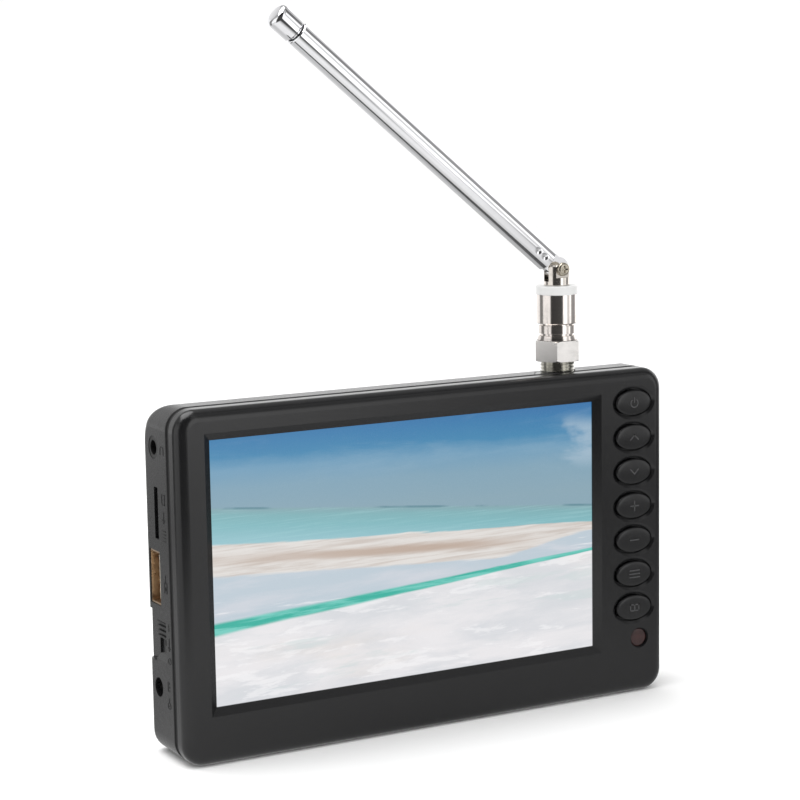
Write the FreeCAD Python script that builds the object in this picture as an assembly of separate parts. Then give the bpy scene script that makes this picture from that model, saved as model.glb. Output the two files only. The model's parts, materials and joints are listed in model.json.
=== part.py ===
import FreeCAD, Part
import math
import os

# Portable 5 inch digital television with a folded telescopic aerial.
# Millimetres. X to the viewer's right, Y to the back, Z up.
# Origin: middle of the body's footprint, on the surface it stands on.

V = FreeCAD.Vector
X, Y, Z = V(1, 0, 0), V(0, 1, 0), V(0, 0, 1)

# Body
BODY_W, BODY_H, BODY_D = 138.4, 86.4, 21.3
CORNER_R = 5.5
FRONT_R, REAR_R, TOP_R = 2.8, 2.2, 9.6
WALL = 2.0
SEAM_Y = -4.7
SEAM_CHAMFER = 0.2
SEAM_GAP, SEAM_DEPTH = 0.45, 0.8
FRONT_Y, BACK_Y = -BODY_D / 2, BODY_D / 2
LEFT_X, RIGHT_X = -BODY_W / 2, BODY_W / 2

# Screen: active area of a 5 inch 800 x 480 panel
SCREEN_W, SCREEN_H = 108.0, 64.8
SCREEN_X0, SCREEN_Z0 = -60.3, 14.0
RECESS = 1.8
RECESS_FLARE = 1.9
LCD_X0, LCD_X1, LCD_Z0, LCD_Z1 = -65.5, 52.9, 7.6, 82.4
GLASS_T, TRAY_T = 1.3, 2.4
GLASS_Y = FRONT_Y + RECESS
TRAY_Y = GLASS_Y + GLASS_T

# Buttons
BUTTON_COUNT = 7
BUTTON_X, BUTTON_TOP_Z, BUTTON_PITCH = 59.7, 77.7, 9.1
HOLE_A, HOLE_B = 5.85, 3.7
DISH_A, DISH_B, DISH_T = 6.6, 4.5, 0.5
CAP_A, CAP_B = 5.45, 3.3
CAP_PROUD = 0.3
FLANGE_A, FLANGE_B, FLANGE_T = 6.3, 4.1, 0.8
STEM_R = 1.6
PLUNGER_R, PLUNGER_LEN = 1.7, 2.3
SWITCH_A, SWITCH_T = 6.0, 3.5

# Infrared window
IR_X, IR_Z = 61.4, 14.7
IR_R, IR_RIM = 2.5, 2.75

# Main board, parallel to the front
BOARD_Y0, BOARD_T = 0.2, 1.6
BOARD_X0, BOARD_X1, BOARD_Z0, BOARD_Z1 = -66.8, 66.2, 10.0, 80.4
BOARD_BACK = BOARD_Y0 + BOARD_T

# Left side sockets: y and z of each centre
PHONE_Y, PHONE_Z, PHONE_R, PHONE_COLLAR_R = 3.8, 76.2, 1.8, 2.75
CARD_Y, CARD_Z, CARD_T, CARD_W = 3.0, 60.4, 2.2, 12.6
USB_Y, USB_Z, USB_T, USB_W, USB_L = 5.0, 44.4, 6.0, 13.1, 14.0
USB_WALL = 0.35
POCKET_Y0, POCKET_Y1, POCKET_Z0, POCKET_Z1, POCKET_DEPTH = -0.6, 5.7, 24.2, 34.0, 1.6
SCOOP_Z0, SCOOP_Z1, SCOOP_DEPTH = 23.5, 36.2, 1.1
KNOB_H, KNOB_TRAVEL = 3.9, 2.6
DC_Y, DC_Z, DC_R, DC_BORE_R, DC_PIN_R = 4.75, 17.1, 2.4, 2.1, 0.8

# Aerial: vertical axis through the socket, then the tilting rod
AERIAL_X = 43.0
THREAD_R, THREAD_PITCH = 4.5, 0.8
SOCKET_TOP = 92.4
NUT_Z0, NUT_Z1, NUT_AF, NUT_TURN = 89.1, 94.5, 11.1, 57.0
BARREL_Z0, BARREL_Z1, BARREL_R, NECK_R = 98.7, 106.35, 5.3, 4.95
RING_Z1, RING_R = 108.65, 5.45
POST_R, POST_TOP = 3.35, 114.0
PIVOT_Z = 112.9
SLOT_T, LUG_T, LUG_R = 2.1, 2.0, 3.0
ROD_ANGLE = -50.5
ROD_START, ROD_END, CAP_LEN = 3.8, 93.4, 8.6
ROD_RADII = [3.1, 2.6, 2.1, 1.6, 1.1]
TUBE_WALL = 0.4
RUN = 0.02

# Speaker, battery and stand
SPEAKER_X, SPEAKER_Z, SPEAKER_R = 41.0, 30.0, 14.0
BATTERY_X0, BATTERY_X1, BATTERY_Z0, BATTERY_Z1, BATTERY_T = -52.0, -21.0, 14.0, 66.0, 5.4
STAND_W, STAND_H, STAND_T, STAND_GAP = 34.0, 40.0, 2.6, 0.3
STAND_Z0 = 3.4
STAND_PIN_R = 0.75
STAND_DEPTH = 3.1

# Fasteners
SCREW_XS = (-61.0, -28.0, 28.0, 61.0)
SCREW_Z = 5.2
WELL_R, WELL_OUTER_R, WELL_FLOOR_Y, WELL_SEAT_Y = 2.5, 3.4, -2.9, 1.4
HOOK_XS = (-44.0, 0.0)
BOARD_SCREWS = ((-53.0, 72.0), (20.0, 71.0), (-54.6, 26.0), (23.0, 14.0))


def box(x0, x1, y0, y1, z0, z1):
    return Part.makeBox(x1 - x0, y1 - y0, z1 - z0, V(x0, y0, z0))


def cyl(radius, start, direction, length):
    return Part.makeCylinder(radius, length, start, direction)


def tube(outer, inner, start, direction, length):
    return cyl(outer, start, direction, length).cut(cyl(inner, start, direction, length))


def rounded_slab(x0, x1, z0, z1, y0, y1, radius):
    """Rectangle in the XZ plane with round corners, as thick as y0 to y1."""
    slab = box(x0, x1, y0, y1, z0, z1)
    corners = [e for e in slab.Edges if abs(e.Length - (y1 - y0)) < 1e-6
               and abs(e.tangentAt(e.FirstParameter).y) > 0.99]
    return slab.makeFillet(radius, corners)


def ellipse_slab(cx, cz, a, b, y0, y1):
    """Elliptic prism along Y with half axes a (X) and b (Z)."""
    curve = Part.Ellipse(V(cx + a, y0, cz), V(cx, y0, cz + b), V(cx, y0, cz))
    face = Part.Face(Part.Wire([curve.toShape()]))
    return face.extrude(V(0, y1 - y0, 0))


def ellipse_cone(cx, cz, a0, b0, y0, a1, b1, y1):
    """Solid between two ellipses at different depths."""
    rims = []
    for a, b, y in ((a0, b0, y0), (a1, b1, y1)):
        curve = Part.Ellipse(V(cx + a, y, cz), V(cx, y, cz + b), V(cx, y, cz))
        rims.append(Part.Wire([curve.toShape()]))
    return Part.makeLoft(rims, True, True)


def prism_x(points, x0, x1):
    """Polygon of (y, z) points, from x0 to x1."""
    wire = Part.makePolygon([V(x0, y, z) for y, z in points] + [V(x0, *points[0])])
    return Part.Face(wire).extrude(V(x1 - x0, 0, 0))


def prism_z(points, z0, z1):
    """Polygon of (x, y) points, from z0 to z1."""
    wire = Part.makePolygon([V(x, y, z0) for x, y in points] + [V(*points[0], z0)])
    return Part.Face(wire).extrude(V(0, 0, z1 - z0))


def turned(profile, cx, cy):
    """Solid of revolution about the vertical line through cx, cy; profile is (radius, z)."""
    pts = [V(cx + r, cy, z) for r, z in profile]
    return Part.Face(Part.makePolygon(pts + [pts[0]])).revolve(V(cx, cy, 0), Z, 360)


def edges_at(shape, test):
    return [e for e in shape.Edges if test(e)]


def all_at_y(edge, y):
    return all(abs(v.Y - y) < 1e-5 for v in edge.Vertexes) and abs(edge.CenterOfMass.y - y) < 1e-5


def side_profile(drop, x0, x1):
    """Body seen from the side, with the large round along the top of the back."""
    back, top, radius = BACK_Y - drop, BODY_H - drop, TOP_R - drop
    start, mid_angle = V(x0, back - radius, top), math.radians(45)
    mid = V(x0, back - radius + radius * math.sin(mid_angle),
            top - radius + radius * math.cos(mid_angle))
    end = V(x0, back, top - radius)
    corners = [end, V(x0, back, -1), V(x0, SEAM_Y - 1, -1), V(x0, SEAM_Y - 1, top), start]
    lines = [Part.makeLine(corners[i], corners[i + 1]) for i in range(4)]
    arc = Part.Arc(start, mid, end).toShape()
    return Part.Face(Part.Wire(lines + [arc])).extrude(V(x1 - x0, 0, 0))


def lobe(grow, z0, z1):
    """Tongue of the front part that reaches back to the aerial's axis."""
    wide, narrow = 9.8 + grow, 7.4 + grow
    tip = 0.2 + grow
    points = [(AERIAL_X - wide, SEAM_Y - 1), (AERIAL_X - wide, SEAM_Y), (AERIAL_X - narrow, tip - 1.2),
              (AERIAL_X - narrow + 1.4, tip), (AERIAL_X + narrow - 1.4, tip), (AERIAL_X + narrow, tip - 1.2),
              (AERIAL_X + wide, SEAM_Y), (AERIAL_X + wide, SEAM_Y - 1)]
    return prism_z(points, z0, z1)


def button_z(index):
    return BUTTON_TOP_Z - BUTTON_PITCH * index


def front_bezel():
    body = rounded_slab(LEFT_X, RIGHT_X, 0, BODY_H, FRONT_Y, SEAM_Y, CORNER_R)
    body = body.makeFillet(FRONT_R, edges_at(body, lambda e: all_at_y(e, FRONT_Y)))
    body = body.makeChamfer(SEAM_CHAMFER, edges_at(body, lambda e: all_at_y(e, SEAM_Y)))
    cavity = rounded_slab(LEFT_X + WALL, RIGHT_X - WALL, WALL, BODY_H - WALL,
                          FRONT_Y + RECESS, SEAM_Y + 1, CORNER_R - WALL)
    body = body.cut(cavity)
    # tongue for the aerial socket
    body = body.fuse(lobe(0, BODY_H - 3, BODY_H - 0.01).cut(
        box(LEFT_X, RIGHT_X, FRONT_Y, SEAM_Y - 0.5, 0, BODY_H)))
    body = body.cut(cyl(THREAD_R + 0.2, V(AERIAL_X, 0, BODY_H - 4), Z, 6))
    # flared screen opening
    x1, z1 = SCREEN_X0 + SCREEN_W, SCREEN_Z0 + SCREEN_H
    flare, lip = RECESS_FLARE, 0.3
    opening = Part.makeWedge(SCREEN_X0 - flare, FRONT_Y, SCREEN_Z0 - flare, SCREEN_Z0, SCREEN_X0,
                             x1 + flare, FRONT_Y + RECESS - lip, z1 + flare, z1, x1)
    body = body.cut(opening).cut(box(SCREEN_X0, x1, FRONT_Y, GLASS_Y + 1, SCREEN_Z0, z1))
    # button holes, each in a shallow dish
    for i in range(BUTTON_COUNT):
        z = button_z(i)
        body = body.cut(ellipse_slab(BUTTON_X, z, HOLE_A, HOLE_B, FRONT_Y - 1, GLASS_Y + 1))
        body = body.cut(ellipse_cone(BUTTON_X, z, DISH_A, DISH_B, FRONT_Y, HOLE_A, HOLE_B,
                                     FRONT_Y + DISH_T))
    # infrared window seat
    body = body.cut(cyl(IR_RIM, V(IR_X, FRONT_Y - 1, IR_Z), Y, 1.5))
    body = body.cut(cyl(IR_R + 0.05, V(IR_X, FRONT_Y, IR_Z), Y, 4))
    # screw bosses and top hooks
    for x in SCREW_XS:
        boss = cyl(2.3, V(x, GLASS_Y - 0.2, SCREW_Z), Y, WELL_FLOOR_Y - GLASS_Y + 0.1)
        body = body.fuse(boss).cut(cyl(1.05, V(x, GLASS_Y + 0.6, SCREW_Z), Y, 8))
    for x in HOOK_XS:
        hook = prism_x([(SEAM_Y - 2, 83.1), (-0.8, 83.1), (-1.2, 84.3), (-1.7, 84.8), (-2.6, 84.8),
                        (-2.6, 84.3), (SEAM_Y, 84.3), (SEAM_Y, 84.6), (SEAM_Y - 2, 84.6)], x - 4, x + 4)
        body = body.fuse(hook)
    return body.removeSplitter()


def grille():
    """Slots of the speaker grille, longer towards the middle."""
    slots = []
    for i in range(-4, 5):
        x = SPEAKER_X + 2.8 * i
        half = math.sqrt((SPEAKER_R - 1.0) ** 2 - (2.8 * i) ** 2)
        slots.append(rounded_slab(x - 0.7, x + 0.7, SPEAKER_Z - half, SPEAKER_Z + half,
                                  BACK_Y - WALL - 1, BACK_Y + 1, 0.69))
    return slots


def side_openings():
    """Cuts for the sockets and the switch in the left wall."""
    x0, x1 = LEFT_X - 1, LEFT_X + WALL + 1
    cuts = [
        cyl(PHONE_COLLAR_R + 0.05, V(x0, PHONE_Y, PHONE_Z), X, x1 - x0),
        box(x0, x1, CARD_Y - CARD_T / 2, CARD_Y + CARD_T / 2, CARD_Z - CARD_W / 2, CARD_Z + CARD_W / 2),
        box(x0, x1, USB_Y - USB_T / 2 - 0.1, USB_Y + USB_T / 2 + 0.1,
            USB_Z - USB_W / 2 - 0.1, USB_Z + USB_W / 2 + 0.1),
        cyl(DC_R, V(x0, DC_Y, DC_Z), X, x1 - x0),
        prism_pocket(),
        box(x0, LEFT_X + SCOOP_DEPTH, POCKET_Y1 - 0.1, BACK_Y + 1, SCOOP_Z0, SCOOP_Z1),
        box(x0, x1, POCKET_Y0 + 0.5, POCKET_Y1 - 2.0, POCKET_Z0 + 3.2, POCKET_Z1 - 0.6),
    ]
    return cuts


def prism_pocket():
    """Switch pocket: a flat floor with a sloping lower wall."""
    x0, floor = LEFT_X - 1, LEFT_X + POCKET_DEPTH
    points = [(x0, POCKET_Z1), (floor, POCKET_Z1), (floor, POCKET_Z0 + 1.6), (LEFT_X, POCKET_Z0),
              (x0, POCKET_Z0)]
    wire = Part.makePolygon([V(x, POCKET_Y0, z) for x, z in points + points[:1]])
    return Part.Face(wire).extrude(V(0, POCKET_Y1 - POCKET_Y0, 0))


def rear_shell():
    body = rounded_slab(LEFT_X, RIGHT_X, 0, BODY_H, SEAM_Y + SEAM_GAP, BACK_Y, CORNER_R)
    body = body.makeChamfer(SEAM_CHAMFER, edges_at(body, lambda e: all_at_y(e, SEAM_Y + SEAM_GAP)))
    body = body.fuse(rounded_slab(LEFT_X + SEAM_DEPTH, RIGHT_X - SEAM_DEPTH, SEAM_DEPTH, BODY_H - SEAM_DEPTH,
                                  SEAM_Y, SEAM_Y + SEAM_GAP + 0.5, CORNER_R - SEAM_DEPTH))
    body = body.common(side_profile(0, LEFT_X - 1, RIGHT_X + 1))
    # the round of the back runs on along both ends of the large top round
    body = body.makeFillet(REAR_R, edges_at(body, lambda e: all_at_y(e, BACK_Y) and
                                            e.CenterOfMass.z < BODY_H - TOP_R - 1))
    cavity = rounded_slab(LEFT_X + WALL, RIGHT_X - WALL, WALL, BODY_H - WALL,
                          SEAM_Y - 1, BACK_Y - WALL, CORNER_R - WALL)
    body = body.cut(cavity.common(side_profile(WALL, LEFT_X, RIGHT_X)))
    # thicker floor behind the switch pocket
    body = body.fuse(box(LEFT_X + WALL - 0.2, LEFT_X + WALL + 0.9, POCKET_Y0 - 1, BACK_Y - WALL + 0.2,
                         SCOOP_Z0 - 1, SCOOP_Z1 + 0.5))
    # tub for the stand
    x0 = STAND_W / 2 + STAND_GAP
    top = STAND_Z0 + STAND_H + STAND_GAP
    body = body.fuse(box(-x0 - 1.5, x0 + 1.5, BACK_Y - STAND_DEPTH - 1.5, BACK_Y - 1, WALL - 0.5, top + 1.5))
    body = body.cut(rounded_slab(-x0, x0, STAND_Z0 - STAND_GAP, top, BACK_Y - STAND_DEPTH, BACK_Y + 1, 1.5))
    body = body.cut(cyl(7.0, V(0, BACK_Y + 5.0, STAND_Z0 - STAND_GAP - 1), Z, 6))
    body = body.cut(cyl(STAND_PIN_R, V(-x0 - 1.2, BACK_Y - 1.4, STAND_Z0 + STAND_H - 1.6), X, 2 * x0 + 2.4))
    # screw wells
    for x in SCREW_XS:
        well = cyl(WELL_OUTER_R, V(x, WELL_FLOOR_Y, SCREW_Z), Y, BACK_Y - 1 - WELL_FLOOR_Y)
        well = well.cut(box(x - 5, x + 5, SEAM_Y, BACK_Y, -1, WALL - 0.1))
        body = body.fuse(well)
        body = body.cut(cyl(WELL_R, V(x, WELL_SEAT_Y, SCREW_Z), Y, 20))
        body = body.cut(cyl(1.25, V(x, WELL_FLOOR_Y - 1, SCREW_Z), Y, 8))
    # speaker grille and rim
    rim = tube(SPEAKER_R + 1.6, SPEAKER_R + 0.1, V(SPEAKER_X, 5.0, SPEAKER_Z), Y, BACK_Y - WALL - 4.9)
    body = body.fuse(rim)
    for slot in grille():
        body = body.cut(slot)
    for cut in side_openings():
        body = body.cut(cut)
    # aerial: notch for the tongue, half hole, hook windows
    body = body.cut(lobe(0.15, BODY_H - 3.2, BODY_H + 1))
    body = body.cut(cyl(THREAD_R + 0.2, V(AERIAL_X, 0, BODY_H - 5), Z, 7))
    for x in HOOK_XS:
        body = body.cut(box(x - 4.3, x + 4.3, -2.8, -1.1, 84.0, 85.0))
    # posts that the main board stands on
    for x, z in BOARD_SCREWS:
        post = cyl(2.2, V(x, BOARD_BACK, z), Y, BACK_Y - WALL - BOARD_BACK + 0.2)
        body = body.fuse(post).cut(cyl(0.9, V(x, BOARD_BACK - 1, z), Y, 5.5))
    return body.removeSplitter()


def lcd_glass():
    return box(LCD_X0, LCD_X1, GLASS_Y, GLASS_Y + GLASS_T, LCD_Z0, LCD_Z1)


def light_guide():
    m = 1.0
    return box(LCD_X0 + m, LCD_X1 - m, TRAY_Y, TRAY_Y + TRAY_T - 0.5, LCD_Z0 + m, LCD_Z1 - m)


def lcd_tray():
    outer = box(LCD_X0, LCD_X1, TRAY_Y, TRAY_Y + TRAY_T, LCD_Z0, LCD_Z1)
    return outer.cut(light_guide())


def lcd_flex():
    """Ribbon from the bottom of the panel, folded back to the main board."""
    t, y0, y1 = 0.3, TRAY_Y + 0.6, BOARD_Y0 - 1.2
    bottom = LCD_Z0 - 0.4
    points = [(y0, LCD_Z0), (y0, bottom - t), (-2.2, bottom - t), (-0.7, BOARD_Z0 + 3), (-0.7, BOARD_Z0 + 7),
              (-0.7 - t, BOARD_Z0 + 7), (-0.7 - t, BOARD_Z0 + 3), (-2.2 - t, bottom), (y0 + t, bottom),
              (y0 + t, LCD_Z0)]
    return prism_x(points, -16, 8)


def main_board():
    board = box(BOARD_X0, BOARD_X1, BOARD_Y0, BOARD_BACK, BOARD_Z0, BOARD_Z1)
    # the left edge steps back behind the switch pocket's floor
    board = board.cut(box(BOARD_X0 - 1, LEFT_X + WALL + 2.6, -1, 3, SCOOP_Z0 - 2, SCOOP_Z1 + 1))
    for x, z in BOARD_SCREWS:
        board = board.cut(cyl(1.1, V(x, -1, z), Y, 4))
    for x in (BOARD_X0, BOARD_X1):
        board = board.cut(box(x - 3, x + 3, -1, 3, BOARD_Z1 - 3, BOARD_Z1 + 1))
    return board


def board_chips():
    """Chips and coils soldered to the back of the board: x, z, width, height, thickness."""
    layout = [(0, 62, 15, 15, 1.2), (-14, 56, 8, 11, 1.0), (-14, 70, 9, 7, 1.0), (16, 44, 6, 6, 3.0),
              (58, 44, 5, 5, 2.6), (58, 66, 7, 5, 1.6), (-45, 73, 8, 5, 1.4), (24, 62, 3.4, 2.6, 1.2),
              (2, 55.5, 3.2, 2.5, 0.8), (61, 56, 4, 4, 1.0)]
    chips = [box(x - w / 2, x + w / 2, BOARD_BACK, BOARD_BACK + t, z - h / 2, z + h / 2)
             for x, z, w, h, t in layout]
    return Part.makeCompound(chips)


def tuner_can():
    can = box(32, 54, BOARD_BACK, BOARD_BACK + 4.6, 58.5, 73.5)
    return can.cut(box(32.3, 53.7, BOARD_BACK - 1, BOARD_BACK + 4.3, 58.8, 73.2))


def tact_switches():
    """One body for each button, with a round well for its plunger."""
    bodies = []
    for i in range(BUTTON_COUNT):
        z, half = button_z(i), SWITCH_A / 2
        block = box(BUTTON_X - half, BUTTON_X + half, BOARD_Y0 - SWITCH_T, BOARD_Y0, z - half, z + half)
        bodies.append(block.cut(cyl(PLUNGER_R + 0.05, V(BUTTON_X, BOARD_Y0 - SWITCH_T - 1, z), Y, 2.2)))
    return Part.makeCompound(bodies)


def plunger_y():
    return BOARD_Y0 - SWITCH_T - PLUNGER_LEN + 0.8


def plunger(index):
    return cyl(PLUNGER_R, V(BUTTON_X, plunger_y(), button_z(index)), Y, PLUNGER_LEN)


def button(index):
    z = button_z(index)
    cap = ellipse_slab(BUTTON_X, z, CAP_A, CAP_B, FRONT_Y - CAP_PROUD, GLASS_Y + 0.2)
    cap = cap.makeFillet(0.9, edges_at(cap, lambda e: all_at_y(e, FRONT_Y - CAP_PROUD)))
    flange = ellipse_slab(BUTTON_X, z, FLANGE_A, FLANGE_B, GLASS_Y + 0.05, GLASS_Y + FLANGE_T)
    stem = cyl(STEM_R, V(BUTTON_X, GLASS_Y + 0.4, z), Y, plunger_y() - GLASS_Y - 0.4)
    return cap.fuse(flange).fuse(stem).removeSplitter()


def ir_window():
    lens = cyl(IR_R, V(IR_X, FRONT_Y + 0.45, IR_Z), Y, 2.2)
    lens = lens.makeFillet(0.5, edges_at(lens, lambda e: all_at_y(e, FRONT_Y + 0.45)))
    return lens.fuse(cyl(IR_R + 0.8, V(IR_X, GLASS_Y, IR_Z), Y, 0.9)).removeSplitter()


def ir_receiver():
    can = box(IR_X - 2.8, IR_X + 2.8, -6.6, -3.0, IR_Z - 3.2, IR_Z + 3.2)
    can = can.fuse(cyl(2.0, V(IR_X, -7.6, IR_Z), Y, 1.2))
    for dx in (-1.9, 0, 1.9):
        can = can.fuse(box(IR_X + dx - 0.25, IR_X + dx + 0.25, -3.2, BOARD_Y0, IR_Z - 0.25, IR_Z + 0.25))
    return can.removeSplitter()


def usb_shell():
    x0, x1 = LEFT_X + 0.2, LEFT_X + 0.2 + USB_L
    outer = box(x0, x1, USB_Y - USB_T / 2, USB_Y + USB_T / 2, USB_Z - USB_W / 2, USB_Z + USB_W / 2)
    w = USB_WALL
    return outer.cut(box(x0 - 1, x1 - w, USB_Y - USB_T / 2 + w, USB_Y + USB_T / 2 - w,
                         USB_Z - USB_W / 2 + w, USB_Z + USB_W / 2 - w))


def usb_tongue():
    x0, x1 = LEFT_X + 1.0, LEFT_X + 0.2 + USB_L - USB_WALL
    y0, y1 = USB_Y - USB_T / 2 + USB_WALL, USB_Y + USB_T / 2 - USB_WALL
    plate = box(x0, x1, y0 + 0.25, y0 + 2.1, USB_Z - 5.4, USB_Z + 5.4)
    block = box(x1 - 4.5, x1, y0, y1, USB_Z - USB_W / 2 + USB_WALL, USB_Z + USB_W / 2 - USB_WALL)
    return plate.fuse(block).removeSplitter()


def usb_contacts():
    y = USB_Y - USB_T / 2 + USB_WALL + 2.1
    x0, x1 = LEFT_X + 2.0, LEFT_X + 0.2 + USB_L - USB_WALL - 4.5
    return Part.makeCompound([box(x0, x1, y, y + 0.15, USB_Z + dz - 0.5, USB_Z + dz + 0.5)
                              for dz in (-3.5, -1.0, 1.0, 3.5)])


def card_socket():
    x0, x1 = LEFT_X + WALL + 0.1, LEFT_X + WALL + 14.5
    outer = box(x0, x1, BOARD_BACK, CARD_Y + CARD_T / 2 + 0.3, CARD_Z - 7.0, CARD_Z + 7.0)
    return outer.cut(box(x0 - 1, x1 - 0.6, CARD_Y - 0.8, CARD_Y + 0.8, CARD_Z - 5.7, CARD_Z + 5.7))


def phone_jack():
    nose = cyl(PHONE_COLLAR_R, V(LEFT_X + 0.1, PHONE_Y, PHONE_Z), X, WALL + 0.2)
    block = box(LEFT_X + WALL + 0.1, LEFT_X + 13.5, BOARD_BACK, BOARD_BACK + 4.2, PHONE_Z - 3, PHONE_Z + 3)
    return block.fuse(nose).cut(cyl(PHONE_R, V(LEFT_X, PHONE_Y, PHONE_Z), X, 12.5)).removeSplitter()


def dc_jack():
    block = box(LEFT_X + WALL + 0.1, LEFT_X + 12.0, BOARD_BACK, BOARD_BACK + 6.0, DC_Z - 3.2, DC_Z + 3.2)
    return block.cut(cyl(DC_BORE_R, V(LEFT_X, DC_Y, DC_Z), X, 11.0))


def dc_pin():
    pin = cyl(DC_PIN_R, V(LEFT_X + 2.3, DC_Y, DC_Z), X, 8.7)
    return pin.makeFillet(0.4, edges_at(pin, lambda e: abs(e.CenterOfMass.x - LEFT_X - 2.3) < 1e-5))


def knob_y():
    return (POCKET_Y0 + 0.35, POCKET_Y1 - 0.35)


def switch_knob():
    """Ribbed slider at the top of its pocket, with a tang through the wall."""
    y0, y1 = knob_y()
    top = POCKET_Z1 - 0.3
    floor = LEFT_X + POCKET_DEPTH - 0.1
    knob = box(LEFT_X + 0.25, floor, y0, y1, top - KNOB_H, top)
    for i in range(3):
        z = top - KNOB_H + 0.45 + i * 1.2
        knob = knob.cut(box(LEFT_X, LEFT_X + 0.85, y0 - 1, y1 + 1, z, z + 0.6))
    tang = box(floor - 0.2, LEFT_X + WALL + 2.2, 0.9, 2.9, top - KNOB_H + 1.2, top - 1.2)
    return knob.fuse(tang).removeSplitter()


def switch_body():
    """Slide switch behind the wall; the tang moves in its window."""
    top = POCKET_Z1 - 0.3
    x0 = LEFT_X + WALL + 1.1
    block = box(x0, x0 + 3.6, BOARD_Y0 - 1.2, BOARD_BACK + 3.4, POCKET_Z0, POCKET_Z1 + 1)
    block = block.cut(box(LEFT_X, x0 + 1.4, 0.8, 3.0, top - KNOB_H + 1.1 - KNOB_TRAVEL, top - 1.1))
    return block.cut(main_board())


def aerial_socket():
    """Threaded stub with a flange inside the top wall and a foot on the board."""
    wall_bottom = BODY_H - WALL
    stub = cyl(THREAD_R, V(AERIAL_X, 0, wall_bottom - 3.6), Z, SOCKET_TOP - wall_bottom + 3.6)
    rings = int((SOCKET_TOP - BODY_H) / THREAD_PITCH)
    for i in range(rings):
        z = BODY_H + 0.4 + i * THREAD_PITCH
        groove = turned([(THREAD_R + 0.2, z - 0.35), (THREAD_R + 0.2, z + 0.35), (THREAD_R - 0.35, z)],
                        AERIAL_X, 0)
        stub = stub.cut(groove)
    stub = stub.fuse(cyl(5.0, V(AERIAL_X, 0, wall_bottom - 3.8), Z, 2.4))
    foot = box(AERIAL_X - 4, AERIAL_X + 4, -3.4, BOARD_Y0, 71.5, wall_bottom - 3.7)
    stub = stub.fuse(foot).cut(cyl(2.9, V(AERIAL_X, 0, wall_bottom - 1), Z, 20))
    return stub.removeSplitter()


def socket_core():
    core = cyl(2.9, V(AERIAL_X, 0, BODY_H - WALL - 1), Z, SOCKET_TOP - 0.6 - BODY_H + WALL + 1)
    return core.cut(cyl(0.55, V(AERIAL_X, 0, BODY_H - 1), Z, 20))


def coupling_nut():
    corner = NUT_AF / math.sqrt(3)
    points = [(AERIAL_X + corner * math.cos(math.radians(NUT_TURN + 60 * k)),
               corner * math.sin(math.radians(NUT_TURN + 60 * k))) for k in range(6)]
    nut = prism_z(points, NUT_Z0, NUT_Z1)
    chamfer = turned([(0, NUT_Z0), (corner - 0.55, NUT_Z0), (corner + 0.3, NUT_Z0 + 0.55),
                      (corner + 0.3, NUT_Z1 - 0.55), (corner - 0.55, NUT_Z1), (0, NUT_Z1)], AERIAL_X, 0)
    nut = nut.common(chamfer)
    nut = nut.cut(cyl(THREAD_R + 0.05, V(AERIAL_X, 0, NUT_Z0 - 1), Z, NUT_Z1 - NUT_Z0 + 0.2))
    return nut.cut(cyl(3.6, V(AERIAL_X, 0, NUT_Z0), Z, 20))


def aerial_barrel():
    """Neck and barrel turned in one piece, with a flange held in the nut."""
    groove = 0.3
    profile = [(0.75, 92.45), (4.4, 92.45), (4.4, 93.6), (3.5, 93.6), (3.5, NUT_Z1 + 0.1),
               (NECK_R, NUT_Z1 + 0.1), (NECK_R, 95.85), (NECK_R - groove, 95.95), (NECK_R - groove, 96.1),
               (NECK_R, 96.2), (NECK_R, BARREL_Z0 - 0.15), (NECK_R - groove, BARREL_Z0 - 0.05),
               (BARREL_R - 0.2, BARREL_Z0 + 0.1), (BARREL_R, BARREL_Z0 + 0.3), (BARREL_R, BARREL_Z1),
               (2.05, BARREL_Z1), (2.05, 102.9), (0.75, 102.9)]
    return turned(profile, AERIAL_X, 0)


def insulator_ring():
    profile = [(2.05, BARREL_Z1), (RING_R - 0.15, BARREL_Z1), (RING_R, BARREL_Z1 + 0.15),
               (RING_R, RING_Z1 - 0.25), (RING_R - 0.25, RING_Z1), (2.05, RING_Z1)]
    return turned(profile, AERIAL_X, 0)


def aerial_pin():
    return cyl(0.75, V(AERIAL_X, 0, 92.45), Z, 10.4).fuse(cyl(0.5, V(AERIAL_X, 0, 86.2), Z, 7)).removeSplitter()


def swivel_post():
    """Forked post that turns in the barrel and carries the tilting rod."""
    c = 0.4
    profile = [(0, 103.0), (2.0, 103.0), (2.0, RING_Z1 + 0.03), (POST_R, RING_Z1 + 0.03), (POST_R, POST_TOP - c),
               (POST_R - c, POST_TOP), (0, POST_TOP)]
    post = turned(profile, AERIAL_X, 0)
    post = post.cut(box(AERIAL_X - 5, AERIAL_X + 5, -SLOT_T / 2, SLOT_T / 2, PIVOT_Z - LUG_R - 0.15, POST_TOP + 1))
    for side in (-1, 1):
        y0, y1 = sorted((side * 2.75, side * 5))
        post = post.cut(box(AERIAL_X - 5, AERIAL_X + 5, y0, y1, PIVOT_Z - 2.2, POST_TOP + 1))
    return post.cut(cyl(1.0, V(AERIAL_X, -5, PIVOT_Z), Y, 10))


def hinge_screw():
    """Round head with a cross recess, shank through the fork and the lug."""
    head = cyl(1.75, V(AERIAL_X, -3.85, PIVOT_Z), Y, 1.1)
    head = head.makeFillet(0.7, edges_at(head, lambda e: all_at_y(e, -3.85)))
    for w, h in ((0.92, 0.2), (0.2, 0.92)):
        head = head.cut(box(AERIAL_X - w, AERIAL_X + w, -4, -3.25, PIVOT_Z - h, PIVOT_Z + h))
    return head.fuse(cyl(1.0, V(AERIAL_X, -2.85, PIVOT_Z), Y, 5.9)).removeSplitter()


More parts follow.
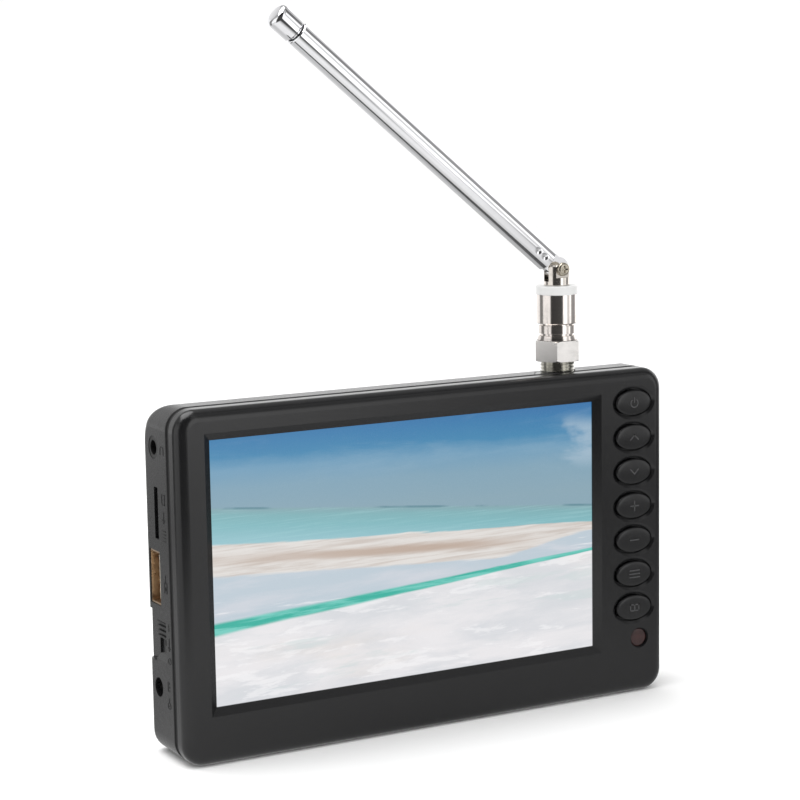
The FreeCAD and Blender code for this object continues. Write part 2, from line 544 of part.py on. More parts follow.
def place_on_rod(shape):
    """From a vertical rod with its pivot at the origin to the folded aerial."""
    shape.rotate(V(0, 0, 0), Y, ROD_ANGLE)
    shape.translate(V(AERIAL_X, 0, PIVOT_Z))
    return shape


def rod_lug():
    half = LUG_T / 2
    eye = cyl(LUG_R, V(0, -half, 0), Y, LUG_T).fuse(box(-2.4, 2.4, -half, half, 0, ROD_START + 1))
    plug = cyl(ROD_RADII[0] - TUBE_WALL, V(0, 0, ROD_START), Z, 4.6)
    return place_on_rod(eye.fuse(plug).cut(cyl(1.05, V(0, -3, 0), Y, 6)).removeSplitter())


def rod_top(level):
    return ROD_END + 0.12 * level


def rod_section(level):
    """Tube of the aerial; level 0 is the outermost and fixed to the lug."""
    outer = ROD_RADII[level]
    bore = outer - TUBE_WALL
    top = rod_top(level)
    start = ROD_START if level == 0 else ROD_START + 4.7 + 0.9 * level
    section = cyl(outer, V(0, 0, start), Z, top - start)
    if level > 0:
        guide = ROD_RADII[level - 1] - TUBE_WALL - RUN
        section = section.fuse(cyl(guide, V(0, 0, start), Z, 6.0))
    if level < len(ROD_RADII) - 1:
        section = section.cut(cyl(bore, V(0, 0, start - 1), Z, top - start - 1))
        section = section.cut(cyl(ROD_RADII[level + 1] + RUN, V(0, 0, start), Z, top))
    else:
        section = section.fuse(cyl(outer, V(0, 0, top - 1), Z, 5))
    return place_on_rod(section.removeSplitter())


def tip_cap():
    start = rod_top(len(ROD_RADII) - 1) + 0.1
    outer = 3.25
    cap = cyl(outer, V(0, 0, start), Z, CAP_LEN)
    cap = cap.makeFillet(0.9, [e for e in cap.Edges if abs(e.CenterOfMass.z - start - CAP_LEN) < 1e-5])
    socket_len = rod_top(len(ROD_RADII) - 1) + 4 - start
    return place_on_rod(cap.cut(cyl(ROD_RADII[-1], V(0, 0, start - 1), Z, socket_len + 1)))


def battery_pack():
    y0 = BOARD_BACK + 0.3
    return rounded_slab(BATTERY_X0, BATTERY_X1, BATTERY_Z0, BATTERY_Z1, y0, y0 + BATTERY_T, 1.5)


def speaker_frame():
    """Round basket with its magnet, open towards the grille."""
    back = BACK_Y - WALL
    frame = cyl(SPEAKER_R, V(SPEAKER_X, back - 2.0, SPEAKER_Z), Y, 2.0)
    frame = frame.cut(cyl(SPEAKER_R - 1.5, V(SPEAKER_X, back - 1.5, SPEAKER_Z), Y, 2))
    return frame.fuse(cyl(7.5, V(SPEAKER_X, back - 5.2, SPEAKER_Z), Y, 3.4)).removeSplitter()


def speaker_cone():
    back = BACK_Y - WALL
    profile = Part.makeCone(SPEAKER_R - 6, SPEAKER_R - 1.6, 0.9, V(SPEAKER_X, back - 1.4, SPEAKER_Z), Y)
    return profile.cut(Part.makeCone(SPEAKER_R - 6.3, SPEAKER_R - 1.9, 0.9,
                                     V(SPEAKER_X, back - 1.1, SPEAKER_Z), Y))


def stand_leg():
    """Flat leg in the back, with a knuckle on each side for the pin."""
    z0, z1 = STAND_Z0, STAND_Z0 + STAND_H
    y0 = BACK_Y - STAND_T
    leg = rounded_slab(-STAND_W / 2, STAND_W / 2, z0, z1, y0, BACK_Y + 0.3, 1.2)
    pin_z = z1 - 1.6
    top = [e for e in leg.Edges if abs(e.CenterOfMass.z - z1) < 1e-5 and e.Length > 20]
    leg = leg.makeFillet(1.2, top)
    leg = leg.cut(rounded_slab(-9, 9, z0 + 9, z1 - 9, BACK_Y - 0.5, BACK_Y + 1, 3))
    return leg.cut(cyl(STAND_PIN_R + 0.05, V(-STAND_W, BACK_Y - 1.4, pin_z), X, 2 * STAND_W))


def stand_pin():
    half = STAND_W / 2 + STAND_GAP + 1.1
    return cyl(STAND_PIN_R, V(-half, BACK_Y - 1.4, STAND_Z0 + STAND_H - 1.6), X, 2 * half)


def shell_screws():
    screws = []
    for x in SCREW_XS:
        head = cyl(2.1, V(x, WELL_SEAT_Y, SCREW_Z), Y, 1.5)
        head = head.makeFillet(0.5, edges_at(head, lambda e: all_at_y(e, WELL_SEAT_Y + 1.5)))
        for w, h in ((1.2, 0.25), (0.25, 1.2)):
            head = head.cut(box(x - w, x + w, WELL_SEAT_Y + 0.7, WELL_SEAT_Y + 2, SCREW_Z - h, SCREW_Z + h))
        screws.append(head.fuse(cyl(1.0, V(x, -7.8, SCREW_Z), Y, WELL_SEAT_Y + 7.9)).removeSplitter())
    return Part.makeCompound(screws)


def board_screws():
    screws = []
    for x, z in BOARD_SCREWS:
        head = cyl(1.8, V(x, BOARD_Y0 - 1.1, z), Y, 1.1)
        screws.append(head.fuse(cyl(0.85, V(x, BOARD_Y0 - 0.1, z), Y, 5.0)).removeSplitter())
    return Part.makeCompound(screws)


def build():
    parts = {
        "front_bezel": front_bezel(), "rear_shell": rear_shell(),
        "lcd_glass": lcd_glass(), "light_guide": light_guide(), "lcd_tray": lcd_tray(),
        "lcd_flex": lcd_flex(), "main_board": main_board(), "board_chips": board_chips(),
        "tuner_can": tuner_can(), "tact_switches": tact_switches(),
        "ir_window": ir_window(), "ir_receiver": ir_receiver(),
        "usb_shell": usb_shell(), "usb_tongue": usb_tongue(), "usb_contacts": usb_contacts(),
        "card_socket": card_socket(), "phone_jack": phone_jack(), "dc_jack": dc_jack(), "dc_pin": dc_pin(),
        "switch_knob": switch_knob(), "switch_body": switch_body(),
        "battery_pack": battery_pack(), "speaker_frame": speaker_frame(), "speaker_cone": speaker_cone(),
        "aerial_socket": aerial_socket(), "socket_core": socket_core(), "coupling_nut": coupling_nut(),
        "aerial_barrel": aerial_barrel(), "insulator_ring": insulator_ring(), "aerial_pin": aerial_pin(),
        "swivel_post": swivel_post(), "hinge_screw": hinge_screw(), "rod_lug": rod_lug(),
        "tip_cap": tip_cap(), "stand_leg": stand_leg(), "stand_pin": stand_pin(),
        "shell_screws": shell_screws(), "board_screws": board_screws(),
    }
    for i in range(BUTTON_COUNT):
        parts[f"button_{i + 1}"] = button(i)
        parts[f"plunger_{i + 1}"] = plunger(i)
    for level in range(len(ROD_RADII)):
        parts[f"rod_section_{level + 1}"] = rod_section(level)
    return parts


os.makedirs("parts", exist_ok=True)
for name, shape in build().items():
    if not shape.isValid():
        print("invalid", name)
    print(name, len(shape.Solids), round(shape.Volume, 1))
    shape.exportStep(f"parts/{name}.step")
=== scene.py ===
import bpy
import bmesh
import json
import math
from mathutils import Matrix, Vector


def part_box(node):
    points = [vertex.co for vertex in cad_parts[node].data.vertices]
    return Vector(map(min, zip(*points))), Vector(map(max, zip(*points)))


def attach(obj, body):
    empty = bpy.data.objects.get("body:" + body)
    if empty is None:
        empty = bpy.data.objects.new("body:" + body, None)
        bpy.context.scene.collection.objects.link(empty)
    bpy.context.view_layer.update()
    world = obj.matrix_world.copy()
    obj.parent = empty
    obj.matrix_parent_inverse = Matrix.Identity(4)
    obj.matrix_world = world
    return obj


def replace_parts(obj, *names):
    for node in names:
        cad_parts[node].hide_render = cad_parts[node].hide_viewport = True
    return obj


# Portable television with a folded telescopic aerial. Metres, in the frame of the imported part.

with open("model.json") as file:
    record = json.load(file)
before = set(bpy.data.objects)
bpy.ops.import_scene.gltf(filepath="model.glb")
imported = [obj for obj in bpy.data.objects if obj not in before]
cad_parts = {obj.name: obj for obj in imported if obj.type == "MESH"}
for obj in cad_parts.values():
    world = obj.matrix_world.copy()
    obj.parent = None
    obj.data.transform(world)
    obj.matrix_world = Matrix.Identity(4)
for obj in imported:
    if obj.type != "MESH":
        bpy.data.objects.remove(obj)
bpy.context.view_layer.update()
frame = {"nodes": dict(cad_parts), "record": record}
nodes = frame["nodes"]

MM = 0.001
UP = Vector((0, 0, 1))
ROD_TILT = math.radians(-50.5)
ROD_AXIS = Vector((math.sin(ROD_TILT), 0, math.cos(ROD_TILT)))
PIVOT = Vector((43.0, 0, 112.9)) * MM
AERIAL = Vector((PIVOT.x, 0, 0))

# lit area of the panel, and the parting line of the two shells (millimetres)
PANEL_LEFT, PANEL_RIGHT, PANEL_FOOT, PANEL_TOP = -60.3 * MM, 47.7 * MM, 14.0 * MM, 78.8 * MM
SEAM = -4.7


# ---------------------------------------------------------------- node helpers

def paint(red, green, blue):
    """Linear colour from everyday 0 to 255 values."""
    def linear(c):
        c = c / 255
        return c / 12.92 if c <= 0.04045 else ((c + 0.055) / 1.055) ** 2.4
    return (linear(red), linear(green), linear(blue), 1.0)


def add(tree, kind, inputs=None, **settings):
    """A shader node with its settings and inputs; a socket given as an input is wired."""
    node = tree.nodes.new("ShaderNode" + kind)
    for key, value in settings.items():
        setattr(node, key, value)
    for key, value in (inputs or {}).items():
        if isinstance(value, bpy.types.NodeSocket):
            tree.links.new(value, node.inputs[key])
        else:
            node.inputs[key].default_value = value
    return node


def calc(tree, operation, first, second=0.0, third=0.0, clamp=False):
    node = add(tree, "Math", {0: first, 1: second, 2: third}, operation=operation, use_clamp=clamp)
    return node.outputs[0]


def band(tree, value, low, high, out_low=0.0, out_high=1.0):
    """Smooth step of value from low to high."""
    return add(tree, "MapRange", {"Value": value, "From Min": low, "From Max": high, "To Min": out_low,
                                  "To Max": out_high}, interpolation_type="SMOOTHSTEP").outputs[0]


def blend(tree, share, first, second):
    node = add(tree, "Mix", data_type="RGBA", blend_type="MIX")
    for socket, value in zip((node.inputs[0], node.inputs[6], node.inputs[7]), (share, first, second)):
        if isinstance(value, bpy.types.NodeSocket):
            tree.links.new(value, socket)
        else:
            socket.default_value = value
    return node.outputs[2]


def lighter(tree, colour, factor):
    return add(tree, "VectorMath", {0: colour, "Scale": factor}, operation="SCALE").outputs[0]


def noise(tree, place, scale, detail=2.0, roughness=0.5, distortion=0.0):
    return add(tree, "TexNoise", {"Vector": place, "Scale": scale, "Detail": detail, "Roughness": roughness,
                                  "Distortion": distortion}).outputs[0]


def band_linear(tree, value, low, high):
    """Straight line from 0 at low to 1 at high."""
    return add(tree, "MapRange", {"Value": value, "From Min": low, "From Max": high}, clamp=False).outputs[0]


def set_ramp(node, stops):
    ramp = node.color_ramp
    while len(ramp.elements) < len(stops):
        ramp.elements.new(0.5)
    for element, (position, colour) in zip(ramp.elements, stops):
        element.position = position
        element.color = colour


def grey_ramp(tree, value, stops):
    ramp = add(tree, "ValToRGB", {"Fac": value})
    set_ramp(ramp, [(position, (level, level, level, 1)) for position, level in stops])
    return ramp.outputs[0]


def object_place(tree):
    return add(tree, "TexCoord").outputs["Object"]


def new_group(name, inputs, outputs):
    tree = bpy.data.node_groups.new(name, "ShaderNodeTree")
    kinds = {"colour": "NodeSocketColor", "value": "NodeSocketFloat", "vector": "NodeSocketVector"}
    for label, kind, default in inputs:
        socket = tree.interface.new_socket(label, in_out="INPUT", socket_type=kinds[kind])
        socket.default_value = default
    for label, kind in outputs:
        tree.interface.new_socket(label, in_out="OUTPUT", socket_type=kinds[kind])
    return tree, tree.nodes.new("NodeGroupInput").outputs, tree.nodes.new("NodeGroupOutput").inputs


def use(tree, group, inputs):
    node = tree.nodes.new("ShaderNodeGroup")
    node.node_tree = group
    for key, value in inputs.items():
        if isinstance(value, bpy.types.NodeSocket):
            tree.links.new(value, node.inputs[key])
        else:
            node.inputs[key].default_value = value
    return node.outputs


# ---------------------------------------------------------------- shared effects

def moulded_skin_group():
    """Spark eroded grain, slow shade changes and faint handling marks of moulded plastic."""
    tree, given, out = new_group("moulded skin", [
        ("Tone", "colour", (0.02, 0.02, 0.02, 1)), ("Grain Size", "value", 0.3),
        ("Mottle", "value", 0.1), ("Roughness", "value", 0.4)],
        [("Colour", "colour"), ("Roughness", "value"), ("Height", "value")])
    place = object_place(tree)
    grain = noise(tree, place, calc(tree, "DIVIDE", 1000.0, given["Grain Size"]), 3.0, 0.6)
    flow = noise(tree, place, 26.0, 4.0, 0.55, 0.4)
    marks = noise(tree, place, 190.0, 6.0, 0.7, 0.8)
    shade = calc(tree, "ADD", calc(tree, "SUBTRACT", flow, 0.5),
                 calc(tree, "MULTIPLY", calc(tree, "SUBTRACT", grain, 0.5), 0.8))
    factor = calc(tree, "MULTIPLY_ADD", shade, calc(tree, "MULTIPLY", given["Mottle"], 2.0), 1.0)
    tree.links.new(lighter(tree, given["Tone"], factor), out["Colour"])
    rough = calc(tree, "MULTIPLY_ADD", calc(tree, "SUBTRACT", marks, 0.5), 0.14, given["Roughness"])
    rough = calc(tree, "MULTIPLY_ADD", calc(tree, "SUBTRACT", grain, 0.5), 0.10, rough, clamp=True)
    tree.links.new(rough, out["Roughness"])
    tree.links.new(calc(tree, "MULTIPLY_ADD", marks, 0.25, grain), out["Height"])
    return tree


def edge_highlight_group():
    """Mask of the outer edges, broken up in patches, along which the plastic paints a highlight."""
    tree, given, out = new_group("painted edge highlight", [("Radius", "value", 0.0004), ("Gain", "value", 3.0)],
                                 [("Mask", "value")])
    soft = add(tree, "Bevel", {"Radius": given["Radius"]}, samples=4).outputs[0]
    true = add(tree, "NewGeometry").outputs["Normal"]
    same = add(tree, "VectorMath", {0: soft, 1: true}, operation="DOT_PRODUCT").outputs["Value"]
    edge = calc(tree, "MULTIPLY", calc(tree, "SUBTRACT", 1.0, same), given["Gain"], clamp=True)
    patches = band(tree, noise(tree, object_place(tree), 420.0, 5.0, 0.65), 0.38, 0.62)
    tree.links.new(calc(tree, "MULTIPLY", edge, patches, clamp=True), out["Mask"])
    return tree


def fine_dust_group():
    """Sparse pale specks a few hundredths of a millimetre across."""
    tree, given, out = new_group("fine dust", [("Amount", "value", 0.5)], [("Mask", "value")])
    place = object_place(tree)
    cells = add(tree, "TexVoronoi", {"Vector": place, "Scale": 620.0})
    speck = band(tree, cells.outputs["Distance"], 0.05, 0.03)
    chance = add(tree, "SeparateColor", {"Color": cells.outputs["Color"]}).outputs[0]
    chosen = calc(tree, "GREATER_THAN", chance, 0.82)
    tree.links.new(calc(tree, "MULTIPLY", calc(tree, "MULTIPLY", speck, chosen), given["Amount"]), out["Mask"])
    return tree


def lathe_marks_group():
    """Fine rings left by turning or drawing, across the given axis."""
    tree, given, out = new_group("lathe marks", [("Axis", "vector", (0, 0, 1)), ("Lines per mm", "value", 12.0)],
                                 [("Height", "value"), ("Shade", "value")])
    place = object_place(tree)
    along = add(tree, "VectorMath", {0: place, 1: given["Axis"]}, operation="DOT_PRODUCT").outputs["Value"]
    count = calc(tree, "MULTIPLY", along, calc(tree, "MULTIPLY", given["Lines per mm"], 1000.0))
    rings = add(tree, "TexNoise", {"W": count, "Scale": 1.0, "Detail": 3.0, "Roughness": 0.7},
                noise_dimensions="1D").outputs[0]
    broad = add(tree, "TexNoise", {"W": calc(tree, "MULTIPLY", count, 0.06), "Scale": 1.0, "Detail": 2.0},
                noise_dimensions="1D").outputs[0]
    tree.links.new(rings, out["Height"])
    tree.links.new(calc(tree, "MULTIPLY_ADD", broad, 0.6, calc(tree, "MULTIPLY", rings, 0.4)), out["Shade"])
    return tree


def plating_group():
    """Bright plating with slightly dull patches and hair scratches."""
    tree, given, out = new_group("plating", [("Tone", "colour", (0.6, 0.6, 0.6, 1)), ("Stain", "value", 0.1),
                                             ("Roughness", "value", 0.1)],
                                 [("Colour", "colour"), ("Roughness", "value"), ("Height", "value")])
    place = object_place(tree)
    patches = band(tree, noise(tree, place, 340.0, 6.0, 0.65, 0.6), 0.35, 0.75)
    stretched = add(tree, "Mapping", {"Vector": place, "Rotation": (0.5, 0.3, 0.7), "Scale": (1.0, 14.0, 14.0)})
    scratch = band(tree, noise(tree, stretched.outputs[0], 260.0, 2.0, 0.5, 2.0), 0.66, 0.72)
    dull = calc(tree, "MULTIPLY", patches, given["Stain"])
    tree.links.new(lighter(tree, given["Tone"], calc(tree, "SUBTRACT", 1.0, dull)), out["Colour"])
    rough = calc(tree, "ADD", given["Roughness"], calc(tree, "MULTIPLY", dull, 0.8))
    tree.links.new(calc(tree, "MULTIPLY_ADD", scratch, 0.12, rough, clamp=True), out["Roughness"])
    tree.links.new(calc(tree, "MULTIPLY", scratch, -1.0), out["Height"])
    return tree


MOULDED = moulded_skin_group()
EDGE_HIGHLIGHT = edge_highlight_group()
DUST = fine_dust_group()
LATHE = lathe_marks_group()
PLATING = plating_group()


# ---------------------------------------------------------------- finishes

def new_material(name):
    material = bpy.data.materials.new(name)
    material.use_nodes = True
    tree = material.node_tree
    return material, tree, tree.nodes["Principled BSDF"]


def bump(tree, height, depth, strength=1.0, normal=None):
    inputs = {"Height": height, "Distance": depth, "Strength": strength}
    if normal is not None:
        inputs["Normal"] = normal
    return add(tree, "Bump", inputs).outputs[0]


def plastic(name, tone, roughness=0.42, grain=0.3, depth=0.004, mottle=0.12, edge=0.25, soften=0.12,
            dust=0.15, parting=None):
    """Moulded plastic. Grain and soften in millimetres, depth of the grain too. Its outer edges get a painted
    highlight, edge sets how strong. It turns matt along a parting line across y, where the shells are handled and
    dust gathers."""
    material, tree, shader = new_material(name)
    skin = use(tree, MOULDED, {"Tone": tone, "Grain Size": grain, "Mottle": mottle, "Roughness": roughness})
    edge_highlight_mask = use(tree, EDGE_HIGHLIGHT, {"Radius": 0.35 * MM, "Gain": 2.5})["Mask"]
    specks = use(tree, DUST, {"Amount": dust})["Mask"]
    # painted highlight: the outer edges are painted lighter by the share edge, and made a little glossier
    edge_highlight_colour = lighter(tree, skin["Colour"], 1.9)
    colour = blend(tree, calc(tree, "MULTIPLY", edge_highlight_mask, edge), skin["Colour"], edge_highlight_colour)
    colour = blend(tree, specks, colour, paint(170, 168, 164))
    rough = calc(tree, "MULTIPLY_ADD", edge_highlight_mask, -0.10 * edge, skin["Roughness"], clamp=True)
    if parting is not None:
        y = add(tree, "SeparateXYZ", {0: object_place(tree)}).outputs["Y"]
        off = calc(tree, "ABSOLUTE", calc(tree, "SUBTRACT", y, parting * MM))
        rough = calc(tree, "MULTIPLY_ADD", band(tree, off, 1.25 * MM, 0.75 * MM), 0.55, rough, clamp=True)
    soft = add(tree, "Bevel", {"Radius": soften * MM}, samples=4).outputs[0]
    tree.links.new(colour, shader.inputs["Base Color"])
    tree.links.new(rough, shader.inputs["Roughness"])
    tree.links.new(bump(tree, skin["Height"], depth * MM, 1.0, soft), shader.inputs["Normal"])
    return material


def metal(name, tone, roughness=0.12, stain=0.12, axis=None, lines=12.0, depth=0.0006, soften=0.08):
    """Plated or bare metal. With an axis it shows the rings of turning."""
    material, tree, shader = new_material(name)
    plate = use(tree, PLATING, {"Tone": tone, "Stain": stain, "Roughness": roughness})
    colour, rough, height = plate["Colour"], plate["Roughness"], plate["Height"]
    if axis is not None:
        rings = use(tree, LATHE, {"Axis": axis, "Lines per mm": lines})
        height = calc(tree, "MULTIPLY_ADD", height, 0.5, rings["Height"])
        rough = calc(tree, "MULTIPLY_ADD", calc(tree, "SUBTRACT", rings["Shade"], 0.5), 0.10, rough, clamp=True)
    soft = add(tree, "Bevel", {"Radius": soften * MM}, samples=4).outputs[0]
    shader.inputs["Metallic"].default_value = 1.0
    tree.links.new(colour, shader.inputs["Base Color"])
    tree.links.new(rough, shader.inputs["Roughness"])
    tree.links.new(bump(tree, height, depth * MM, 1.0, soft), shader.inputs["Normal"])
    return material


def screen_material():
    """Lit panel behind its polariser: sky, sea, a sand bar and a stream through pale flats."""
    material, tree, shader = new_material("screen_glass_lit")
    glass_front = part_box("lcd_glass")[0].y
    place = add(tree, "SeparateXYZ", {0: object_place(tree)})
    u = band_linear(tree, place.outputs["X"], PANEL_LEFT, PANEL_RIGHT)
    v = band_linear(tree, place.outputs["Z"], PANEL_FOOT, PANEL_TOP)
    flat = add(tree, "CombineXYZ", {0: u, 1: v, 2: 0.0}).outputs[0]

    def streaks(stretch, scale, detail=5.0, rough=0.6, shift=0.0, tilt=0.0):
        mapped = add(tree, "Mapping", {"Vector": flat, "Location": (shift, shift * 0.7, shift),
                                       "Rotation": (0, 0, tilt), "Scale": (1.0, stretch, 1.0)})
        return noise(tree, mapped.outputs[0], scale, detail, rough, 0.3)

    # the scene falls off slightly to the right
    level = calc(tree, "MULTIPLY_ADD", u, 0.165, v)
    waver = calc(tree, "MULTIPLY", calc(tree, "SUBTRACT", streaks(1.0, 5.0, shift=3.0), 0.5), 0.05)
    sky_height = calc(tree, "ADD", calc(tree, "MULTIPLY_ADD", u, 0.05, v), waver)
    sky = add(tree, "ValToRGB", {"Fac": band_linear(tree, sky_height, 0.70, 1.05)})
    set_ramp(sky, [(0.0, paint(134, 163, 177)), (0.30, paint(126, 160, 179)), (0.52, paint(108, 153, 182)),
                   (0.66, paint(60, 130, 172)), (0.85, paint(48, 119, 168)), (1.0, paint(44, 108, 164))])
    haze = band(tree, streaks(3.2, 2.6, 7.0, 0.62, 1.3, -0.12), 0.46, 0.72)
    high_sky = band(tree, level, 0.78, 0.98)
    colour = blend(tree, calc(tree, "MULTIPLY", calc(tree, "MULTIPLY", haze, high_sky), 0.30),
                   sky.outputs[0], paint(150, 178, 196))
    # cloud at the right
    puff = calc(tree, "ADD", band(tree, u, 0.80, 1.0), calc(tree, "MULTIPLY", calc(tree, "SUBTRACT",
                streaks(1.4, 6.5, 8.0, 0.6, 5.1), 0.5), 1.5))
    puff = calc(tree, "MULTIPLY", band(tree, puff, 0.66, 1.0),
                calc(tree, "MULTIPLY", band(tree, level, 0.88, 0.96), band(tree, level, 1.13, 1.05)))
    colour = blend(tree, calc(tree, "MULTIPLY", puff, 0.75), colour, paint(164, 186, 202))

    # sea, from a dark thread on the horizon to pale water at the sand
    sea_ramp = add(tree, "ValToRGB", {"Fac": band_linear(tree, level, 0.590, 0.745)})
    set_ramp(sea_ramp, [(0.0, paint(150, 196, 206)), (0.25, paint(144, 190, 199)), (0.6, paint(126, 180, 187)),
                        (0.85, paint(124, 173, 179)), (1.0, paint(130, 164, 172))])
    ripple = streaks(22.0, 7.0, 4.0, 0.6, 2.2, -0.16)
    sea = blend(tree, calc(tree, "MULTIPLY", band(tree, ripple, 0.45, 0.75), 0.35), sea_ramp.outputs[0],
                paint(160, 206, 210))
    colour = blend(tree, band(tree, level, 0.752, 0.742), colour, sea)
    thread = calc(tree, "MULTIPLY", band(tree, calc(tree, "ABSOLUTE", calc(tree, "SUBTRACT", level, 0.747)),
                                         0.006, 0.002), band(tree, streaks(1.0, 6.0, 3.0, 0.6, 7.7), 0.46, 0.60))
    colour = blend(tree, calc(tree, "MULTIPLY", thread, 0.75), colour, paint(84, 128, 142))

    # sand bar
    ground = calc(tree, "MULTIPLY_ADD", u, 0.095, v)
    edge = calc(tree, "MULTIPLY_ADD", calc(tree, "SUBTRACT", streaks(7.0, 5.0, 6.0, 0.6, 4.0), 0.5), 0.03, ground)
    sand = blend(tree, band(tree, streaks(14.0, 4.0, 6.0, 0.65, 9.0, -0.10), 0.42, 0.66), paint(222, 218, 214),
                 paint(202, 193, 186))
    crest = band(tree, calc(tree, "ABSOLUTE", calc(tree, "SUBTRACT", edge, 0.548)), 0.030, 0.004)
    reach = calc(tree, "MULTIPLY", band(tree, u, 0.90, 0.62), band(tree, u, 0.0, 0.40, 0.35, 1.0))
    heart = calc(tree, "MULTIPLY", crest, reach)
    sand = blend(tree, calc(tree, "MULTIPLY", heart, 0.85), sand, paint(182, 160, 144))
    colour = blend(tree, band(tree, edge, 0.612, 0.604), colour, sand)

    # shallow flats below it
    foot = calc(tree, "MULTIPLY_ADD", band(tree, u, 0.70, 1.02), 0.085, 0.488)
    under = calc(tree, "SUBTRACT", edge, foot)
    wet = blend(tree, band(tree, streaks(4.0, 3.0, 6.0, 0.6, 12.0, -0.1), 0.45, 0.70), paint(187, 200, 210),
                paint(203, 208, 216))
    foam = band(tree, streaks(9.0, 3.2, 5.0, 0.6, 15.0, -0.06), 0.60, 0.70)
    wet = blend(tree, calc(tree, "MULTIPLY", foam, 0.8), wet, paint(238, 238, 240))
    colour = blend(tree, band(tree, under, 0.006, -0.006), colour, wet)

    # white salt flats in the foreground
    stream = calc(tree, "SUBTRACT", v, calc(tree, "MULTIPLY_ADD", u, 0.112, 0.290))
    bends = calc(tree, "SUBTRACT", streaks(1.0, 4.0, 4.0, 0.5, 6.0), 0.5)
    stream = calc(tree, "ADD", stream, calc(tree, "MULTIPLY", bends, 0.014))
    salt = blend(tree, band(tree, streaks(2.6, 2.4, 8.0, 0.62, 20.0, -0.35), 0.40, 0.66), paint(230, 228, 230),
                 paint(212, 214, 218))
    stains = band(tree, streaks(2.0, 1.6, 6.0, 0.6, 27.0), 0.50, 0.75)
    salt = blend(tree, calc(tree, "MULTIPLY", stains, 0.6), salt, paint(228, 218, 210))
    crust = band(tree, streaks(3.4, 5.2, 8.0, 0.66, 33.0, -0.22), 0.53, 0.60)
    salt = blend(tree, calc(tree, "MULTIPLY", crust, 0.45), salt, paint(246, 245, 246))
    pools = band(tree, streaks(5.0, 3.4, 7.0, 0.62, 41.0, -0.16), 0.56, 0.66)
    salt = blend(tree, calc(tree, "MULTIPLY", pools, 0.5), salt, paint(200, 212, 212))
    colour = blend(tree, band(tree, stream, 0.0, -0.012), colour, salt)
    half = calc(tree, "MULTIPLY_ADD", u, -0.020, 0.027)
    inside = calc(tree, "DIVIDE", calc(tree, "ABSOLUTE", stream), half)
    water = blend(tree, band(tree, streaks(8.0, 6.0, 4.0, 0.6, 31.0, 0.1), 0.40, 0.65), paint(44, 172, 154),
                  paint(112, 200, 188))
    colour = blend(tree, band(tree, inside, 1.1, 0.55), colour, water)

    # thin black border of the panel outside its active area
    shader.inputs["Base Color"].default_value = (0.012, 0.013, 0.015, 1)
    shader.inputs["Roughness"].default_value = 0.22
    shader.inputs["Emission Strength"].default_value = 1.0
    film = noise(tree, object_place(tree), 9000.0, 2.0, 0.5)
    tree.links.new(calc(tree, "MULTIPLY_ADD", film, 0.12, 0.20), shader.inputs["Roughness"])
    tree.links.new(bump(tree, film, 0.0008 * MM), shader.inputs["Normal"])
    lit = band(tree, place.outputs["Y"], glass_front + 0.2 * MM, glass_front + 0.1 * MM)
    for share in (u, v):
        lit = calc(tree, "MULTIPLY", lit, band(tree, share, -0.001, 0.001))
        lit = calc(tree, "MULTIPLY", lit, band(tree, share, 1.001, 0.999))
    # the panel dims when seen from far to the side
    facing = add(tree, "LayerWeight", {"Blend": 0.5}).outputs["Facing"]
    lit = calc(tree, "MULTIPLY", lit, band(tree, facing, 0.25, 0.60, 1.0, 0.2))
    tree.links.new(blend(tree, lit, (0, 0, 0, 1), colour), shader.inputs["Emission Color"])
    return material


def board_material():
    """Green solder mask over copper tracks, with drilled vias."""
    material, tree, shader = new_material("board_laminate_green")
    place = object_place(tree)
    flat = add(tree, "Mapping", {"Vector": place, "Rotation": (math.pi / 2, 0, 0), "Scale": (1000, 1000, 1000)})
    blocks = add(tree, "TexVoronoi", {"Vector": flat.outputs[0], "Scale": 0.11}, distance="CHEBYCHEV")
    pick = add(tree, "SeparateColor", {"Color": blocks.outputs["Color"]})
    xyz = add(tree, "SeparateXYZ", {0: flat.outputs[0]})
    across = calc(tree, "PINGPONG", xyz.outputs[0], 0.35)
    along = calc(tree, "PINGPONG", xyz.outputs[1], 0.35)
    turn = calc(tree, "GREATER_THAN", pick.outputs[0], 0.5)
    lines = calc(tree, "ADD", calc(tree, "MULTIPLY", across, turn),
                 calc(tree, "MULTIPLY", along, calc(tree, "SUBTRACT", 1.0, turn)))
    laid = calc(tree, "GREATER_THAN", pick.outputs[1], 0.35)
    track = calc(tree, "MULTIPLY", band(tree, lines, 0.20, 0.17), laid)
    holes = add(tree, "TexVoronoi", {"Vector": flat.outputs[0], "Scale": 0.22})
    via = band(tree, holes.outputs["Distance"], 0.085, 0.075)
    ring = calc(tree, "SUBTRACT", band(tree, holes.outputs["Distance"], 0.15, 0.14), via)
    colour = blend(tree, track, paint(12, 62, 34), paint(26, 92, 48))
    colour = blend(tree, ring, colour, paint(196, 168, 96))
    colour = blend(tree, via, colour, paint(18, 20, 18))
    tree.links.new(colour, shader.inputs["Base Color"])
    tree.links.new(calc(tree, "MULTIPLY_ADD", ring, -0.1, 0.32), shader.inputs["Roughness"])
    tree.links.new(ring, shader.inputs["Metallic"])
    tree.links.new(bump(tree, calc(tree, "ADD", track, ring), 0.03 * MM), shader.inputs["Normal"])
    return material


